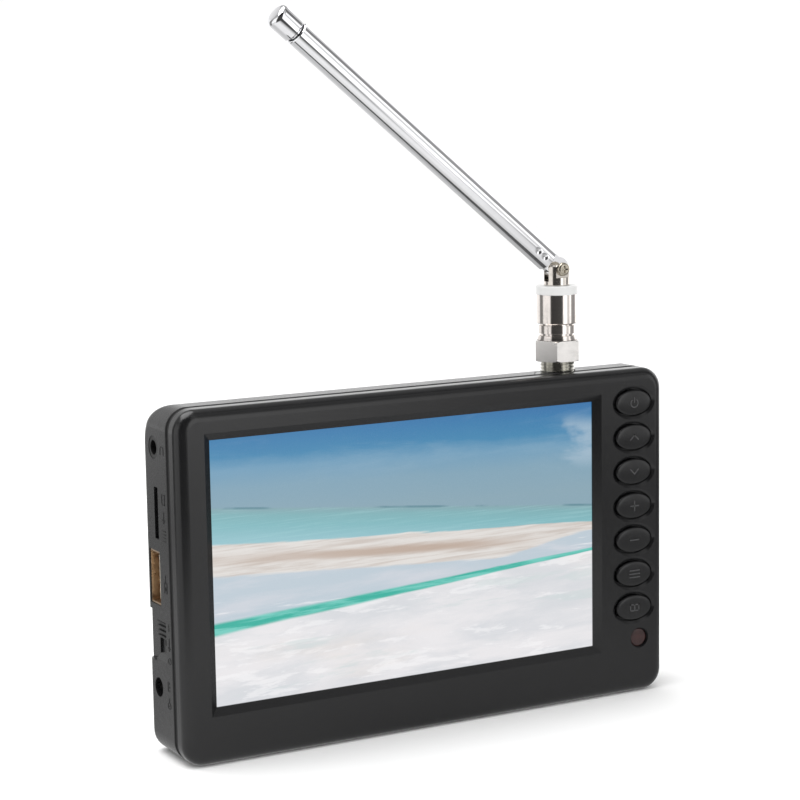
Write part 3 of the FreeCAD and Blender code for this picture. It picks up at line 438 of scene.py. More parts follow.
def flex_material():
    """Amber film with copper lines running along the ribbon."""
    material, tree, shader = new_material("flex_film_amber")
    xyz = add(tree, "SeparateXYZ", {0: object_place(tree)})
    pitch = calc(tree, "PINGPONG", xyz.outputs[0], 0.25 * MM)
    line = band(tree, pitch, 0.15 * MM, 0.12 * MM)
    colour = blend(tree, line, paint(150, 84, 22), paint(196, 122, 52))
    tree.links.new(colour, shader.inputs["Base Color"])
    tree.links.new(calc(tree, "MULTIPLY", line, 0.6), shader.inputs["Metallic"])
    tree.links.new(calc(tree, "MULTIPLY_ADD", noise(tree, object_place(tree), 300.0, 4.0), 0.15, 0.22),
                   shader.inputs["Roughness"])
    tree.links.new(bump(tree, line, 0.02 * MM), shader.inputs["Normal"])
    return material


def guide_material():
    """Clear acrylic plate with white printed dots that spread the light."""
    material, tree, shader = new_material("guide_plastic_dotted")
    place = object_place(tree)
    dots = add(tree, "TexVoronoi", {"Vector": place, "Scale": 900.0, "Randomness": 0.0})
    dot = band(tree, dots.outputs["Distance"], 0.34, 0.30)
    tree.links.new(blend(tree, dot, paint(214, 222, 224), paint(248, 248, 246)), shader.inputs["Base Color"])
    tree.links.new(calc(tree, "MULTIPLY_ADD", dot, 0.3, 0.18), shader.inputs["Roughness"])
    tree.links.new(bump(tree, dot, 0.01 * MM), shader.inputs["Normal"])
    return material


def paper_material():
    """Pressed paper of the loudspeaker cone."""
    material, tree, shader = new_material("cone_paper_black")
    place = object_place(tree)
    stretched = add(tree, "Mapping", {"Vector": place, "Scale": (1.0, 1.0, 4.0)}).outputs[0]
    fibre = noise(tree, stretched, 1600.0, 6.0, 0.75, 1.5)
    tree.links.new(blend(tree, band(tree, fibre, 0.42, 0.70), paint(22, 22, 23), paint(52, 51, 50)),
                   shader.inputs["Base Color"])
    tree.links.new(calc(tree, "MULTIPLY_ADD", fibre, 0.2, 0.75, clamp=True), shader.inputs["Roughness"])
    tree.links.new(bump(tree, fibre, 0.03 * MM), shader.inputs["Normal"])
    return material


def battery_material():
    """Silver foil pouch, slightly wrinkled, with a strip of amber tape along its top."""
    material, tree, shader = new_material("battery_wrap_foil")
    place = object_place(tree)
    creases = noise(tree, place, 120.0, 6.0, 0.6, 1.2)
    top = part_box("battery_pack")[1].z
    height = add(tree, "SeparateXYZ", {0: place}).outputs["Z"]
    tape = band(tree, height, top - 5.1 * MM, top - 5.0 * MM)
    # painted shade: the foil is painted darker where its creases sink and lighter on their crests
    colour = blend(tree, band(tree, creases, 0.3, 0.7), paint(168, 170, 174), paint(206, 208, 212))
    tree.links.new(blend(tree, tape, colour, paint(178, 120, 32)), shader.inputs["Base Color"])
    tree.links.new(calc(tree, "MULTIPLY_ADD", tape, -0.95, 0.95), shader.inputs["Metallic"])
    tree.links.new(calc(tree, "MULTIPLY_ADD", creases, 0.2, 0.22), shader.inputs["Roughness"])
    tree.links.new(bump(tree, creases, 0.12 * MM), shader.inputs["Normal"])
    return material


def lens_material():
    """Dark red dyed plastic that passes infrared."""
    material, tree, shader = new_material("ir_plastic_red")
    place = object_place(tree)
    swirl = noise(tree, place, 500.0, 4.0, 0.6, 1.0)
    tree.links.new(blend(tree, band(tree, swirl, 0.35, 0.7), paint(38, 16, 15), paint(56, 24, 21)),
                   shader.inputs["Base Color"])
    tree.links.new(calc(tree, "MULTIPLY_ADD", swirl, 0.12, 0.12), shader.inputs["Roughness"])
    tree.links.new(bump(tree, swirl, 0.004 * MM), shader.inputs["Normal"])
    shader.inputs["Coat Weight"].default_value = 0.4
    return material


SHELL_TONE = paint(21, 21, 22)
FINISHES = {
    "bezel_plastic": plastic("bezel_plastic_black", SHELL_TONE, 0.22, 0.22, 0.0022, 0.10, soften=0.05,
                             parting=SEAM),
    "shell_plastic": plastic("shell_plastic_black", SHELL_TONE, 0.27, 0.22, 0.0030, 0.12, soften=0.05,
                             parting=SEAM),
    "button_plastic": plastic("button_plastic_black", paint(19, 19, 20), 0.24, 0.2, 0.002, 0.08, edge=0.5,
                              soften=0.03),
    "knob_plastic": plastic("knob_plastic_black", paint(34, 34, 35), 0.45, 0.2, 0.003, 0.10),
    "stand_plastic": plastic("stand_plastic_black", SHELL_TONE, 0.45, 0.26, 0.005, 0.12),
    "jack_plastic": plastic("jack_plastic_black", paint(18, 18, 18), 0.38, 0.25, 0.003, 0.10),
    "plunger_plastic": plastic("plunger_plastic_black", paint(26, 26, 26), 0.35, 0.2, 0.002),
    "tact_plastic": plastic("tact_plastic_black", paint(30, 30, 30), 0.5, 0.2, 0.004),
    "chip_resin": plastic("chip_resin_black", paint(34, 35, 36), 0.6, 0.12, 0.006, 0.15, edge=0.1),
    "receiver_resin": plastic("receiver_resin_dark", paint(40, 24, 30), 0.25, 0.3, 0.001, 0.08, edge=0.0),
    "tongue_plastic": plastic("tongue_plastic_cream", paint(250, 238, 216), 0.38, 0.3, 0.002, 0.06, edge=0.1),
    "core_plastic": plastic("core_plastic_white", paint(236, 234, 228), 0.4, 0.3, 0.002, 0.05, edge=0.1),
    "ring_plastic": plastic("ring_plastic_white", paint(214, 214, 213), 0.35, 0.4, 0.0015, 0.04, edge=0.05),
    "screen_glass": screen_material(),
    "guide_plastic": guide_material(),
    "flex_film": flex_material(),
    "board_laminate": board_material(),
    "battery_wrap": battery_material(),
    "cone_paper": paper_material(),
    "ir_plastic": lens_material(),
    "tray_steel": metal("tray_steel_rolled", paint(176, 178, 180), 0.32, 0.2, (0, 0, 1), 9.0),
    "can_steel": metal("can_steel_tinned", paint(190, 190, 188), 0.30, 0.25, (1, 0, 0), 6.0),
    "socket_steel": metal("socket_steel_plated", paint(186, 186, 184), 0.26, 0.2, (0, 0, 1), 8.0),
    # painted shade: the switch steel is painted dark to stand in for the shade inside its slot
    "switch_steel": metal("switch_steel_painted_dark", paint(74, 74, 74), 0.42, 0.3, (0, 0, 1), 8.0),
    "speaker_steel": metal("speaker_steel_black", paint(70, 70, 72), 0.4, 0.2),
    "usb_plated": metal("usb_plated_nickel", paint(206, 180, 152), 0.24, 0.25, (1, 0, 0), 7.0),
    "contact_gold": metal("contact_gold_plated", paint(222, 178, 96), 0.18, 0.15, (1, 0, 0), 10.0),
    "pin_metal": metal("pin_metal_nickel", paint(206, 202, 192), 0.2, 0.15, (1, 0, 0), 14.0),
    "screw_steel": metal("screw_steel_bright", paint(196, 188, 172), 0.2, 0.25, (0, 1, 0), 12.0),
    "screw_black": metal("screw_black_oxide", paint(52, 52, 54), 0.38, 0.2, (0, 1, 0), 12.0),
    "thread_nickel": metal("thread_nickel_bright", paint(210, 208, 200), 0.14, 0.3, (0, 0, 1), 10.0, soften=0.02),
    "nut_nickel": metal("nut_nickel_bright", paint(234, 231, 228), 0.20, 0.12, (0, 0, 1), 6.0),
    "barrel_nickel": metal("barrel_nickel_bright", paint(226, 219, 214), 0.10, 0.08, (0, 0, 1), 14.0, soften=0.03),
    "post_nickel": metal("post_nickel_bright", paint(218, 212, 204), 0.12, 0.12, (0, 0, 1), 12.0),
    "rod_chrome": metal("rod_chrome_bright", paint(246, 246, 248), 0.05, 0.04, tuple(ROD_AXIS), 8.0, 0.0004),
}

node_slot = {}
for material_row in frame["record"]["materials"]:
    for name in material_row.get("nodes", []):
        node_slot[name] = material_row["slot"]
for name, node in nodes.items():
    slot = node.data.materials[0].name.split(".")[0]
    node_slot.setdefault(name, slot)
    node.data.materials[0] = FINISHES[node_slot[name]]


# ---------------------------------------------------------------- mesh helpers

def finish_piece(bm, name, body, slot, material=None, sharp=32.0):
    """Object from a bmesh, riding on its body, with a bevelled-edge shading limit in degrees."""
    bmesh.ops.recalc_face_normals(bm, faces=bm.faces)
    mesh = bpy.data.meshes.new(name)
    bm.to_mesh(mesh)
    bm.free()
    mesh.shade_smooth()
    mesh.set_sharp_from_angle(angle=math.radians(sharp))
    mesh.materials.append(material or FINISHES[slot])
    piece = bpy.data.objects.new(name, mesh)
    bpy.context.scene.collection.objects.link(piece)
    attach(piece, body)
    return piece


def oval_stack(bm, centre, rings, segments=72):
    """Closed shell through ovals that face the front: half width, half height and y of each."""
    half_x, half_z, y = rings[0]
    made = bmesh.ops.create_circle(bm, cap_ends=True, segments=segments, radius=1.0)
    verts = made["verts"]
    lay = Matrix.Translation((centre.x, y, centre.z)) @ Matrix.Diagonal((half_x, 1, half_z, 1)) \
        @ Matrix.Rotation(math.pi / 2, 4, "X")
    bmesh.ops.transform(bm, matrix=lay, verts=verts)
    face = verts[0].link_faces[0]
    for (a0, b0, y0), (a1, b1, y1) in zip(rings, rings[1:]):
        grown = bmesh.ops.extrude_face_region(bm, geom=[face])["geom"]
        if face.is_valid and (a0, b0, y0) != rings[0]:
            bmesh.ops.delete(bm, geom=[face], context="FACES_ONLY")
        verts = [v for v in grown if isinstance(v, bmesh.types.BMVert)]
        face = [f for f in grown if isinstance(f, bmesh.types.BMFace)][0]
        step = Matrix.Translation((centre.x, y1, centre.z)) @ Matrix.Diagonal((a1 / a0, 1, b1 / b0, 1)) \
            @ Matrix.Translation((-centre.x, -y0, -centre.z))
        bmesh.ops.transform(bm, matrix=step, verts=verts)


def turned(bm, profile, base, axis=UP, segments=72):
    """Closed shell of revolution from a closed profile of (radius, height) along axis from base."""
    turn = UP.rotation_difference(axis).to_matrix().to_4x4()
    made = [bm.verts.new((r, 0, h)) for r, h in profile]
    bmesh.ops.transform(bm, matrix=Matrix.Translation(base) @ turn, verts=made)
    edges = [bm.edges.new(pair) for pair in zip(made, made[1:] + made[:1])]
    before = set(bm.verts) - set(made)
    bmesh.ops.spin(bm, geom=made + edges, cent=base, axis=axis, angle=math.tau, steps=segments,
                   use_merge=True, use_duplicate=False)
    bmesh.ops.remove_doubles(bm, verts=[v for v in bm.verts if v not in before], dist=1e-7)


def block(bm, low, high, bevel=0.0, segments=2):
    """Box between two corners with rounded edges."""
    made = bmesh.ops.create_cube(bm, size=1.0)["verts"]
    low, high = Vector(low), Vector(high)
    size = high - low
    bmesh.ops.transform(bm, matrix=Matrix.Translation((low + high) / 2) @ Matrix.Diagonal((*size, 1)), verts=made)
    if bevel:
        edges = list({e for v in made for e in v.link_edges})
        bmesh.ops.bevel(bm, geom=edges, offset=bevel, offset_type="OFFSET", affect="EDGES", segments=segments,
                        profile=0.5, material=-1, clamp_overlap=True)


def marks(bm, lay, bars=(), arcs=(), width=0.3, height=0.1):
    """Raised strokes drawn in a plane, millimetres, laid on the object by a matrix.
    bars: (x0, y0, x1, y1); arcs: (x, y, radius, from, to) in degrees."""
    scratch = bmesh.new()
    for x0, y0, x1, y1 in bars:
        run = Vector((x1 - x0, y1 - y0, 0))
        made = bmesh.ops.create_cube(scratch, size=1.0)["verts"]
        turn = Matrix.Rotation(math.atan2(run.y, run.x), 4, "Z")
        place = Matrix.Translation(((x0 + x1) / 2, (y0 + y1) / 2, 0)) @ turn
        bmesh.ops.transform(scratch, matrix=place @ Matrix.Diagonal((run.length + width, width, 2 * height, 1)),
                            verts=made)
    for x, y, radius, start, stop in arcs:
        sheet = bmesh.ops.create_grid(scratch, x_segments=1, y_segments=1, size=0.5)["verts"]
        section = Matrix.Rotation(math.radians(start), 4, "Z") @ Matrix.Translation((radius, 0, 0)) \
            @ Matrix.Diagonal((width, 1, 2 * height, 1)) @ Matrix.Rotation(math.pi / 2, 4, "X")
        bmesh.ops.transform(scratch, matrix=section, verts=sheet)
        face = sheet[0].link_faces[0]
        ring = abs(stop - start) >= 360
        geom = sheet + list(face.edges) + ([] if ring else [face])
        if ring:
            bmesh.ops.delete(scratch, geom=[face], context="FACES_ONLY")
        older = set(scratch.verts) - set(sheet)
        bmesh.ops.spin(scratch, geom=geom, cent=(0, 0, 0), axis=UP, angle=math.radians(stop - start),
                       steps=max(8, int(abs(stop - start) / 12)), use_merge=ring, use_duplicate=False)
        bmesh.ops.translate(scratch, verts=[v for v in scratch.verts if v not in older], vec=(x, y, 0))
    bmesh.ops.scale(scratch, vec=(MM, MM, MM), verts=scratch.verts)
    bmesh.ops.transform(scratch, matrix=lay, verts=scratch.verts)
    copy = bpy.data.meshes.new("strokes")
    bmesh.ops.recalc_face_normals(scratch, faces=scratch.faces)
    scratch.to_mesh(copy)
    scratch.free()
    bm.from_mesh(copy)
    bpy.data.meshes.remove(copy)


# ---------------------------------------------------------------- buttons

SYMBOLS = [
    {"bars": [(0, 0.25, 0, 1.25)], "arcs": [(0, -0.1, 1.1, 125, 415)]},                        # power
    {"bars": [(-1.2, -0.6, 0, 0.6), (0, 0.6, 1.2, -0.6)]},                                     # up
    {"bars": [(-1.2, 0.6, 0, -0.6), (0, -0.6, 1.2, 0.6)]},                                     # down
    {"bars": [(-1.2, 0, 1.2, 0), (0, -1.2, 0, 1.2)]},                                          # more
    {"bars": [(-1.3, 0, 1.3, 0)]},                                                             # less
    {"bars": [(-1.5, 0.9, 1.5, 0.9), (-1.5, 0, 1.5, 0), (-1.5, -0.9, 1.5, -0.9)]},             # menu
    {"bars": [(-1.3, -0.8, 1.3, -0.8), (-1.3, -0.8, -1.3, 0.8), (1.3, -0.8, 1.3, 0.8),
              (-1.3, 0.8, 1.3, 0.8), (0, 0.8, 0, -0.8)]},                                      # guide
]
CAP_A, CAP_B = 5.45, 3.3      # half width and half height of a cap, millimetres


def crown(inset, drop, front):
    """Oval of a cap, that far in from its side and that far behind its front."""
    return ((CAP_A - inset) * MM, (CAP_B - inset) * MM, front + drop * MM)


def button_cap(index, node_name):
    low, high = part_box(node_name)
    centre = (low + high) / 2
    front = low.y
    flange_a, flange_b = (high.x - low.x) / 2, (high.z - low.z) / 2
    bm = bmesh.new()
    rings = [(flange_a, flange_b, front + 2.9 * MM), (flange_a, flange_b, front + 2.16 * MM),
             crown(0, 2.15, front), crown(0, 0.62, front), crown(0.05, 0.42, front), crown(0.16, 0.27, front),
             crown(0.34, 0.18, front), crown(0.60, 0.13, front)]
    rings += [(rings[-1][0] * share, rings[-1][1] * share, front + drop * MM)
              for share, drop in ((0.85, 0.09), (0.65, 0.05), (0.45, 0.02), (0.25, 0.0))]
    oval_stack(bm, centre, rings)
    stem_start, stem_radius = front + 2.7 * MM, 1.6 * MM
    stem = high.y - stem_start
    turned(bm, [(0, 0), (stem_radius, 0), (stem_radius, stem), (0, stem)],
           Vector((centre.x, stem_start, centre.z)), Vector((0, 1, 0)), 40)
    cap = finish_piece(bm, f"button_cap_{index + 1}", node_name, "button_plastic", sharp=38)
    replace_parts(cap, node_name)
    symbol = SYMBOLS[index]
    bm = bmesh.new()
    lay = Matrix.Translation((centre.x, front + 0.03 * MM, centre.z)) @ Matrix.Rotation(math.pi / 2, 4, "X")
    marks(bm, lay, symbol.get("bars", ()), symbol.get("arcs", ()), 0.34, 0.06)
    finish_piece(bm, f"button_mark_{index + 1}", node_name, "button_plastic", MARK_GREY, 30)


MARK_GREY = plastic("mark_grey", paint(62, 62, 63), 0.45, 0.15, 0.002, 0.15, dust=0.0)
MARK_BLACK = plastic("mark_black", paint(22, 22, 23), 0.5, 0.15, 0.002, 0.15, dust=0.0)
for index in range(7):
    button_cap(index, f"button_{index + 1}")


# ---------------------------------------------------------------- marks beside the sockets

def side_marks():
    """Generic pictograms moulded into the left side. Their x runs down the side, y towards the back."""
    side_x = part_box("rear_shell")[0].x
    lay = Matrix(((0, 0, -1, side_x), (0, 1, 0, 0), (-1, 0, 0, 0), (0, 0, 0, 1)))
    bm = bmesh.new()

    def at(y, z, bars=(), arcs=()):
        marks(bm, Matrix.Translation((0, y * MM, z * MM)) @ lay, bars, arcs, 0.22, 0.07)

    # earphones
    at(-1.3, 76.2, [(0.2, -0.95, 1.1, -0.95), (0.2, 0.95, 1.1, 0.95)], [(0.1, 0, 0.95, 90, 270)])
    # card: outline with a cut corner, arrow, contact strips
    at(-1.3, 64.2, [(-1.2, -0.8, 1.2, -0.8), (-1.2, 0.8, 0.7, 0.8), (-1.2, -0.8, -1.2, 0.8),
                    (1.2, -0.8, 1.2, 0.3), (0.7, 0.8, 1.2, 0.3)])
    at(-1.3, 59.8, [(-1.3, 0, 1.2, 0), (0.5, -0.7, 1.2, 0), (0.5, 0.7, 1.2, 0)])
    at(-1.3, 55.4, [(step, -0.8, step, 0.8) for step in (-1.2, -0.4, 0.4, 1.2)])
    # data plug
    at(-1.3, 43.6, [(-0.4, -0.7, 2.0, -0.7), (-0.4, 0.7, 2.0, 0.7), (-0.4, -0.7, -0.4, 0.7),
                    (2.0, -0.7, 2.0, 0.7), (-0.4, 0.0, -2.2, 0.0), (0.7, -0.3, 1.4, -0.3), (0.7, 0.3, 1.4, 0.3)])
    # switch: on, travel, off
    at(-2.3, 33.2, [(-0.8, 0, 0.8, 0)])
    at(-2.3, 29.0, [(-1.6, 0, 1.4, 0), (0.7, -0.6, 1.4, 0), (0.7, 0.6, 1.4, 0)])
    at(-2.3, 25.0, (), [(0, 0, 0.72, 0, 360)])
    # direct current, and the pin's polarity
    at(-1.3, 18.5, [(-1.1, 0.5, 1.1, 0.5), (-1.1, -0.4, -0.8, -0.4), (-0.15, -0.4, 0.15, -0.4),
                    (0.8, -0.4, 1.1, -0.4)])
    at(-1.3, 13.9, [(-1.7, 0, -0.8, 0), (0.1, 0, 0.15, 0)], [(0.1, 0, 0.8, 0, 360)])
    finish_piece(bm, "side_pictograms", "body", "shell_plastic", MARK_BLACK, 30)


side_marks()


# ---------------------------------------------------------------- aerial socket with a real thread

def threaded_socket():
    """Hollow stud with one helical thread, its flange inside the shell and its solder block."""
    low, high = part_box("aerial_socket")
    root, crest, pitch, bore = 4.16 * MM, 4.5 * MM, 0.8 * MM, 2.9 * MM
    foot, thread_low = 80.8 * MM, 84.9 * MM
    flange, flange_foot, flange_height = 5.0 * MM, 80.6 * MM, 2.4 * MM
    per_turn = 80
    bm = bmesh.new()
    tall = high.z - foot
    turned(bm, [(bore, 0), (root, 0), (root, tall), (bore, tall)], AERIAL + UP * foot, UP, per_turn)
    tooth = [(root - 0.15 * MM, 0), (root, 0.02 * MM), (crest, 0.34 * MM), (crest, 0.42 * MM),
             (root, 0.74 * MM), (root - 0.15 * MM, 0.76 * MM)]
    verts = [bm.verts.new((AERIAL.x + r, 0, thread_low + h)) for r, h in tooth]
    face = bm.faces.new(verts)
    steps = int(((high.z - thread_low) / pitch - 1.0) * per_turn)
    bmesh.ops.spin(bm, geom=verts + list(face.edges) + [face], cent=AERIAL, axis=UP,
                   dvec=(0, 0, pitch / per_turn), angle=math.tau * steps / per_turn, steps=steps,
                   use_duplicate=False)
    inner = bore + 0.05 * MM
    turned(bm, [(inner, 0), (flange, 0), (flange, flange_height), (inner, flange_height)],
           AERIAL + UP * flange_foot, UP, 64)
    block(bm, (low.x + 1 * MM, -3.4 * MM, low.z), (high.x - 1 * MM, 0.2 * MM, flange_foot + 0.1 * MM), 0.15 * MM)
    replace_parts(finish_piece(bm, "threaded_socket", "body", "thread_nickel", sharp=28), "aerial_socket")


threaded_socket()


# ---------------------------------------------------------------- barrel with its grooved neck

def grooved_barrel():
    """Flange held in the nut, a neck with a groove, and the barrel above its shelf. Millimetres."""
    neck, barrel, groove = 4.9, 5.3, 0.45
    foot, shelf, top = 92.45, 98.7, 106.35
    profile = [(0.75, foot), (4.4, foot), (4.4, 93.6), (3.5, 93.6), (3.5, 94.6), (neck + 0.3, 94.6),
               (neck + 0.22, 94.95), (neck, 95.4), (neck, 95.7), (neck - groove, 95.78), (neck - groove, 96.22),
               (neck, 96.3), (neck, shelf - 0.35), (neck - groove, shelf - 0.28), (neck - groove, shelf - 0.02),
               (barrel - 0.2, shelf + 0.1), (barrel, shelf + 0.3), (barrel, top), (2.05, top),
               (2.05, 102.9), (0.75, 102.9)]
    bm = bmesh.new()
    turned(bm, [(r * MM, (h - foot) * MM) for r, h in profile], AERIAL + UP * foot * MM, UP, 96)
    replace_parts(finish_piece(bm, "grooved_barrel", "body", "barrel_nickel", sharp=30), "aerial_barrel")


grooved_barrel()


# ---------------------------------------------------------------- first rod section with its crimps

ON_ROD = Matrix.Translation(PIVOT) @ Matrix.Rotation(ROD_TILT, 4, "Y")


def crimped_tube():
    """Outer tube with two punched dimples that hold it to its lug. Millimetres, along the rod."""
    foot, top = 3.8, 95.2
    outer, bore, lip = 3.1, 2.7, 2.62
    dimple_turn, dimple_depth, dimple_size, reach = math.radians(-105), 0.34, 0.55, 1.6
    bm = bmesh.new()
    heights = [foot + 0.15 + 0.22 * i for i in range(40)] + [30.0, 60.0, top - 0.2]
    profile = [(bore, foot), (outer - 0.15, foot)] + [(outer, h) for h in heights]
    profile += [(outer - 0.2, top), (lip, top), (lip, top - 1), (bore, top - 1)]
    turned(bm, [(r * MM, h * MM) for r, h in profile], Vector((0, 0, 0)), UP, 120)
    for height in (6.3, 8.8):
        centre = Vector((math.cos(dimple_turn) * outer, math.sin(dimple_turn) * outer, height)) * MM
        for v in bm.verts:
            away = (v.co - centre).length / MM
            if away < reach and v.co.xy.length > (outer - 0.2) * MM:
                v.co -= v.co.xy.normalized().to_3d() * dimple_depth * MM * math.exp(-(away / dimple_size) ** 2)
    bmesh.ops.transform(bm, matrix=ON_ROD, verts=bm.verts)
    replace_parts(finish_piece(bm, "crimped_tube", "rod_1", "rod_chrome", sharp=40), "rod_section_1")


crimped_tube()


def domed_tip(start, length, bore):
    """Cap of the innermost section: a slim neck, then a knob with a rounded end."""
    outer, neck, shoulder, dome, seat = 3.2, 2.2, 2.0, 1.3, 3.9
    profile = [(bore, 0), (neck, 0), (neck, shoulder), (outer - 0.25, shoulder), (outer, shoulder + 0.25)]
    profile += [(outer - dome * (1 - math.cos(a)), length - dome * (1 - math.sin(a)))
                for a in [math.radians(9 * i) for i in range(11)]]
    profile += [(0, length), (0, seat), (bore, seat)]
    bm = bmesh.new()
    turned(bm, [(r * MM, h * MM) for r, h in profile], Vector((0, 0, 0)), UP, 96)
    bmesh.ops.transform(bm, matrix=ON_ROD @ Matrix.Translation((0, 0, start * MM)), verts=bm.verts)
    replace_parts(finish_piece(bm, "domed_tip", "rod_5", "rod_chrome", sharp=30), "tip_cap")


domed_tip(93.98, 8.6, 1.1)


# ---------------------------------------------------------------- studio

# flat directions from the object to the tent's opening and to its right wall
OPENING, RIGHT_WALL = (-0.527, -0.850, 0.0), (0.876, -0.482, 0.0)
CARD_LIGHT = 1.16
FILL_LIGHT = (1.1, 1.1, 1.1, 1)
SOFTBOX_WATTS, SOFTBOX_PLACE = 7.5, (-0.25, 0.15, 0.95)

# turns about the upright, the level and the line of sight, in degrees
CAMERA_TURN, CAMERA_PLACE, CAMERA_LENS = (28.80, 8.33, -0.94), (-0.27172, -0.48724, 0.16393), 100.94


def tent_group():
    """Brightness round a light tent: dark opening in front, two bright walls, grey gaps, a pale back."""
    tree, given, out = new_group("light tent", [("Direction", "vector", (0, 0, 1))], [("Light", "value")])
    flat = add(tree, "VectorMath", {0: given["Direction"], 1: (1, 1, 0)}, operation="MULTIPLY").outputs[0]
    flat = add(tree, "VectorMath", {0: flat}, operation="NORMALIZE").outputs[0]
    turn = add(tree, "VectorMath", {0: flat, 1: OPENING}, operation="DOT_PRODUCT").outputs["Value"]
    ramp = grey_ramp(tree, calc(tree, "MULTIPLY_ADD", turn, 0.5, 0.5), (
        (0.0, 1.0), (0.262, 0.95), (0.31, 0.24), (0.50, 0.22), (0.545, 1.0), (0.88, 1.0),
        (0.918, 0.05), (1.0, 0.04)))
    side = add(tree, "VectorMath", {0: flat, 1: RIGHT_WALL}, operation="DOT_PRODUCT").outputs["Value"]
    wall = grey_ramp(tree, calc(tree, "MULTIPLY_ADD", side, 0.5, 0.5), (
        (0.0, 0.70), (0.25, 0.74), (0.5, 0.98), (0.885, 1.25), (0.91, 0.95), (0.94, 0.45),
        (0.965, 0.50), (0.985, 0.95), (1.0, 1.0)))
    tree.links.new(calc(tree, "MULTIPLY", ramp, wall), out["Light"])
    return tree


def stage_disc(name, profile, material, steps=96):
    bm = bmesh.new()
    verts = [bm.verts.new((r, 0, h)) for r, h in profile]
    edges = [bm.edges.new(pair) for pair in zip(verts, verts[1:])]
    bmesh.ops.spin(bm, geom=verts + edges, cent=(0, 0, 0), axis=UP, angle=math.tau, steps=steps, use_merge=True)
    bmesh.ops.remove_doubles(bm, verts=bm.verts, dist=1e-5)
    bmesh.ops.recalc_face_normals(bm, faces=bm.faces)
    mesh = bpy.data.meshes.new(name)
    bm.to_mesh(mesh)
    bm.free()
    mesh.shade_smooth()
    mesh.materials.append(material)
    disc = bpy.data.objects.new(name, mesh)
    bpy.context.scene.collection.objects.link(disc)
    return disc


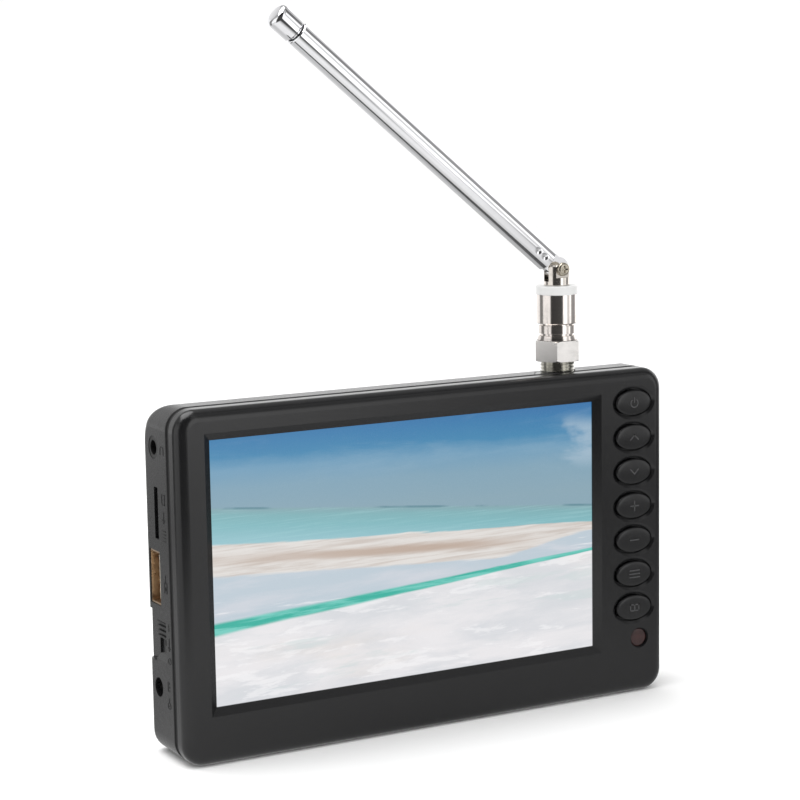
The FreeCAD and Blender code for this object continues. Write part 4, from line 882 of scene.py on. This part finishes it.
def studio():
    """Round pale floor that sweeps up into a low wall, soft light from a bright tent and one softbox.
    The metal and the gloss mirror a second floor that darkens towards the object, as a dark table does."""
    tent = tent_group()
    material, tree, shader = new_material("studio_floor_pale")
    speckle = noise(tree, object_place(tree), 60.0, 4.0)
    pale = blend(tree, speckle, (0.90, 0.90, 0.90, 1), (0.92, 0.92, 0.915, 1))
    tree.links.new(pale, shader.inputs["Base Color"])
    shader.inputs["Roughness"].default_value = 0.85
    radius, bend = 2.2, 0.6
    profile = [(0, 0), (0.6, 0), (1.2, 0), (radius - bend, 0)]
    profile += [(radius - bend + bend * math.sin(a), bend - bend * math.cos(a))
                for a in [math.radians(9 * i) for i in range(1, 11)]]
    stage_disc("studio_floor", profile, material).visible_glossy = False

    card_paint = bpy.data.materials.new("studio_mirror_card")
    card_paint.use_nodes = True
    tree = card_paint.node_tree
    tree.nodes.remove(tree.nodes["Principled BSDF"])
    place = object_place(tree)
    away = add(tree, "VectorMath", {0: place}, operation="LENGTH").outputs["Value"]
    rise = grey_ramp(tree, away, (
        (0.0, 0.36), (0.04, 0.54), (0.10, 0.76), (0.30, 0.94), (0.50, 1.0), (0.75, 1.35), (1.0, 1.5)))
    light = use(tree, tent, {"Direction": place})["Light"]
    light = calc(tree, "MULTIPLY", rise, blend(tree, band(tree, away, 0.14, 0.34), (1, 1, 1, 1), light))
    # the table top is dimmer to the right of the object and behind it
    spot = add(tree, "SeparateXYZ", {0: place})
    near = band(tree, away, 0.60, 0.40)
    right = calc(tree, "MULTIPLY", calc(tree, "MULTIPLY", band(tree, spot.outputs["X"], -0.02, 0.16), near), -0.55)
    behind = calc(tree, "MULTIPLY", calc(tree, "MULTIPLY", band(tree, spot.outputs["Y"], -0.02, 0.06),
                                         band(tree, away, 0.30, 0.15)), -0.34)
    light = calc(tree, "MULTIPLY", light, calc(tree, "ADD", calc(tree, "ADD", right, behind), 1.0))
    glow = add(tree, "Emission", {"Color": light, "Strength": CARD_LIGHT})
    tree.links.new(glow.outputs[0], tree.nodes["Material Output"].inputs["Surface"])
    card = stage_disc("studio_card", [(0, -0.0005), (0.5, -0.0005), (1.8, -0.0005)], card_paint)
    card.visible_camera = card.visible_diffuse = card.visible_shadow = card.visible_transmission = False

    world = bpy.data.worlds.new("studio_light")
    bpy.context.scene.world = world
    world.use_nodes = True
    tree = world.node_tree
    direction = add(tree, "TexCoord").outputs["Generated"]
    height = add(tree, "SeparateXYZ", {0: direction}).outputs["Z"]
    light = use(tree, tent, {"Direction": direction})["Light"]
    front = add(tree, "VectorMath", {0: direction, 1: (0.0, -1.0, 0.0)}, operation="DOT_PRODUCT").outputs["Value"]
    height_band = band(tree, height, 0.38, 0.56)
    dark = calc(tree, "MULTIPLY", band(tree, front, 0.02, 0.14), height_band)
    light = calc(tree, "MULTIPLY", light, calc(tree, "MULTIPLY_ADD", dark, -0.90, 1.5))
    light = calc(tree, "MULTIPLY", light, band(tree, front, 0.1, -0.5, 1.0, 0.95))
    overhead = calc(tree, "MULTIPLY", band(tree, height, 0.30, 0.60), band(tree, front, 0.10, -0.05))
    light = blend(tree, overhead, light, (0.42, 0.42, 0.42, 1))
    path = add(tree, "LightPath")
    light = blend(tree, path.outputs["Is Glossy Ray"], FILL_LIGHT, light)
    tree.links.new(light, tree.nodes["Background"].inputs["Color"])
    tree.nodes["Background"].inputs["Strength"].default_value = 1.0

    lamp = bpy.data.lights.new("softbox", "AREA")
    lamp.shape = "RECTANGLE"
    lamp.size, lamp.size_y = 0.9, 0.7
    lamp.energy = SOFTBOX_WATTS
    box = bpy.data.objects.new("softbox", lamp)
    box.location = SOFTBOX_PLACE
    box.rotation_mode = "QUATERNION"
    box.rotation_quaternion = (Vector((0, 0, 0.05)) - box.location).to_track_quat("-Z", "Y")
    bpy.context.scene.collection.objects.link(box)
    bpy.context.scene.view_settings.view_transform = "Standard"


def camera():
    yaw, pitch, roll = (math.radians(a) for a in CAMERA_TURN)
    forward = Vector((math.sin(yaw) * math.cos(pitch), math.cos(yaw) * math.cos(pitch), -math.sin(pitch)))
    level = Vector((math.cos(yaw), -math.sin(yaw), 0))
    upright = level.cross(forward)
    right = math.cos(roll) * level + math.sin(roll) * upright
    top = -math.sin(roll) * level + math.cos(roll) * upright
    data = bpy.data.cameras.new("camera")
    data.lens, data.sensor_width = CAMERA_LENS, 36.0
    data.clip_start, data.clip_end = 0.02, 20.0
    view = bpy.data.objects.new("camera", data)
    turn = Matrix((right, top, -forward)).transposed().to_4x4()
    view.matrix_world = Matrix.Translation(CAMERA_PLACE) @ turn
    bpy.context.scene.collection.objects.link(view)
    bpy.context.scene.camera = view


studio()
camera()
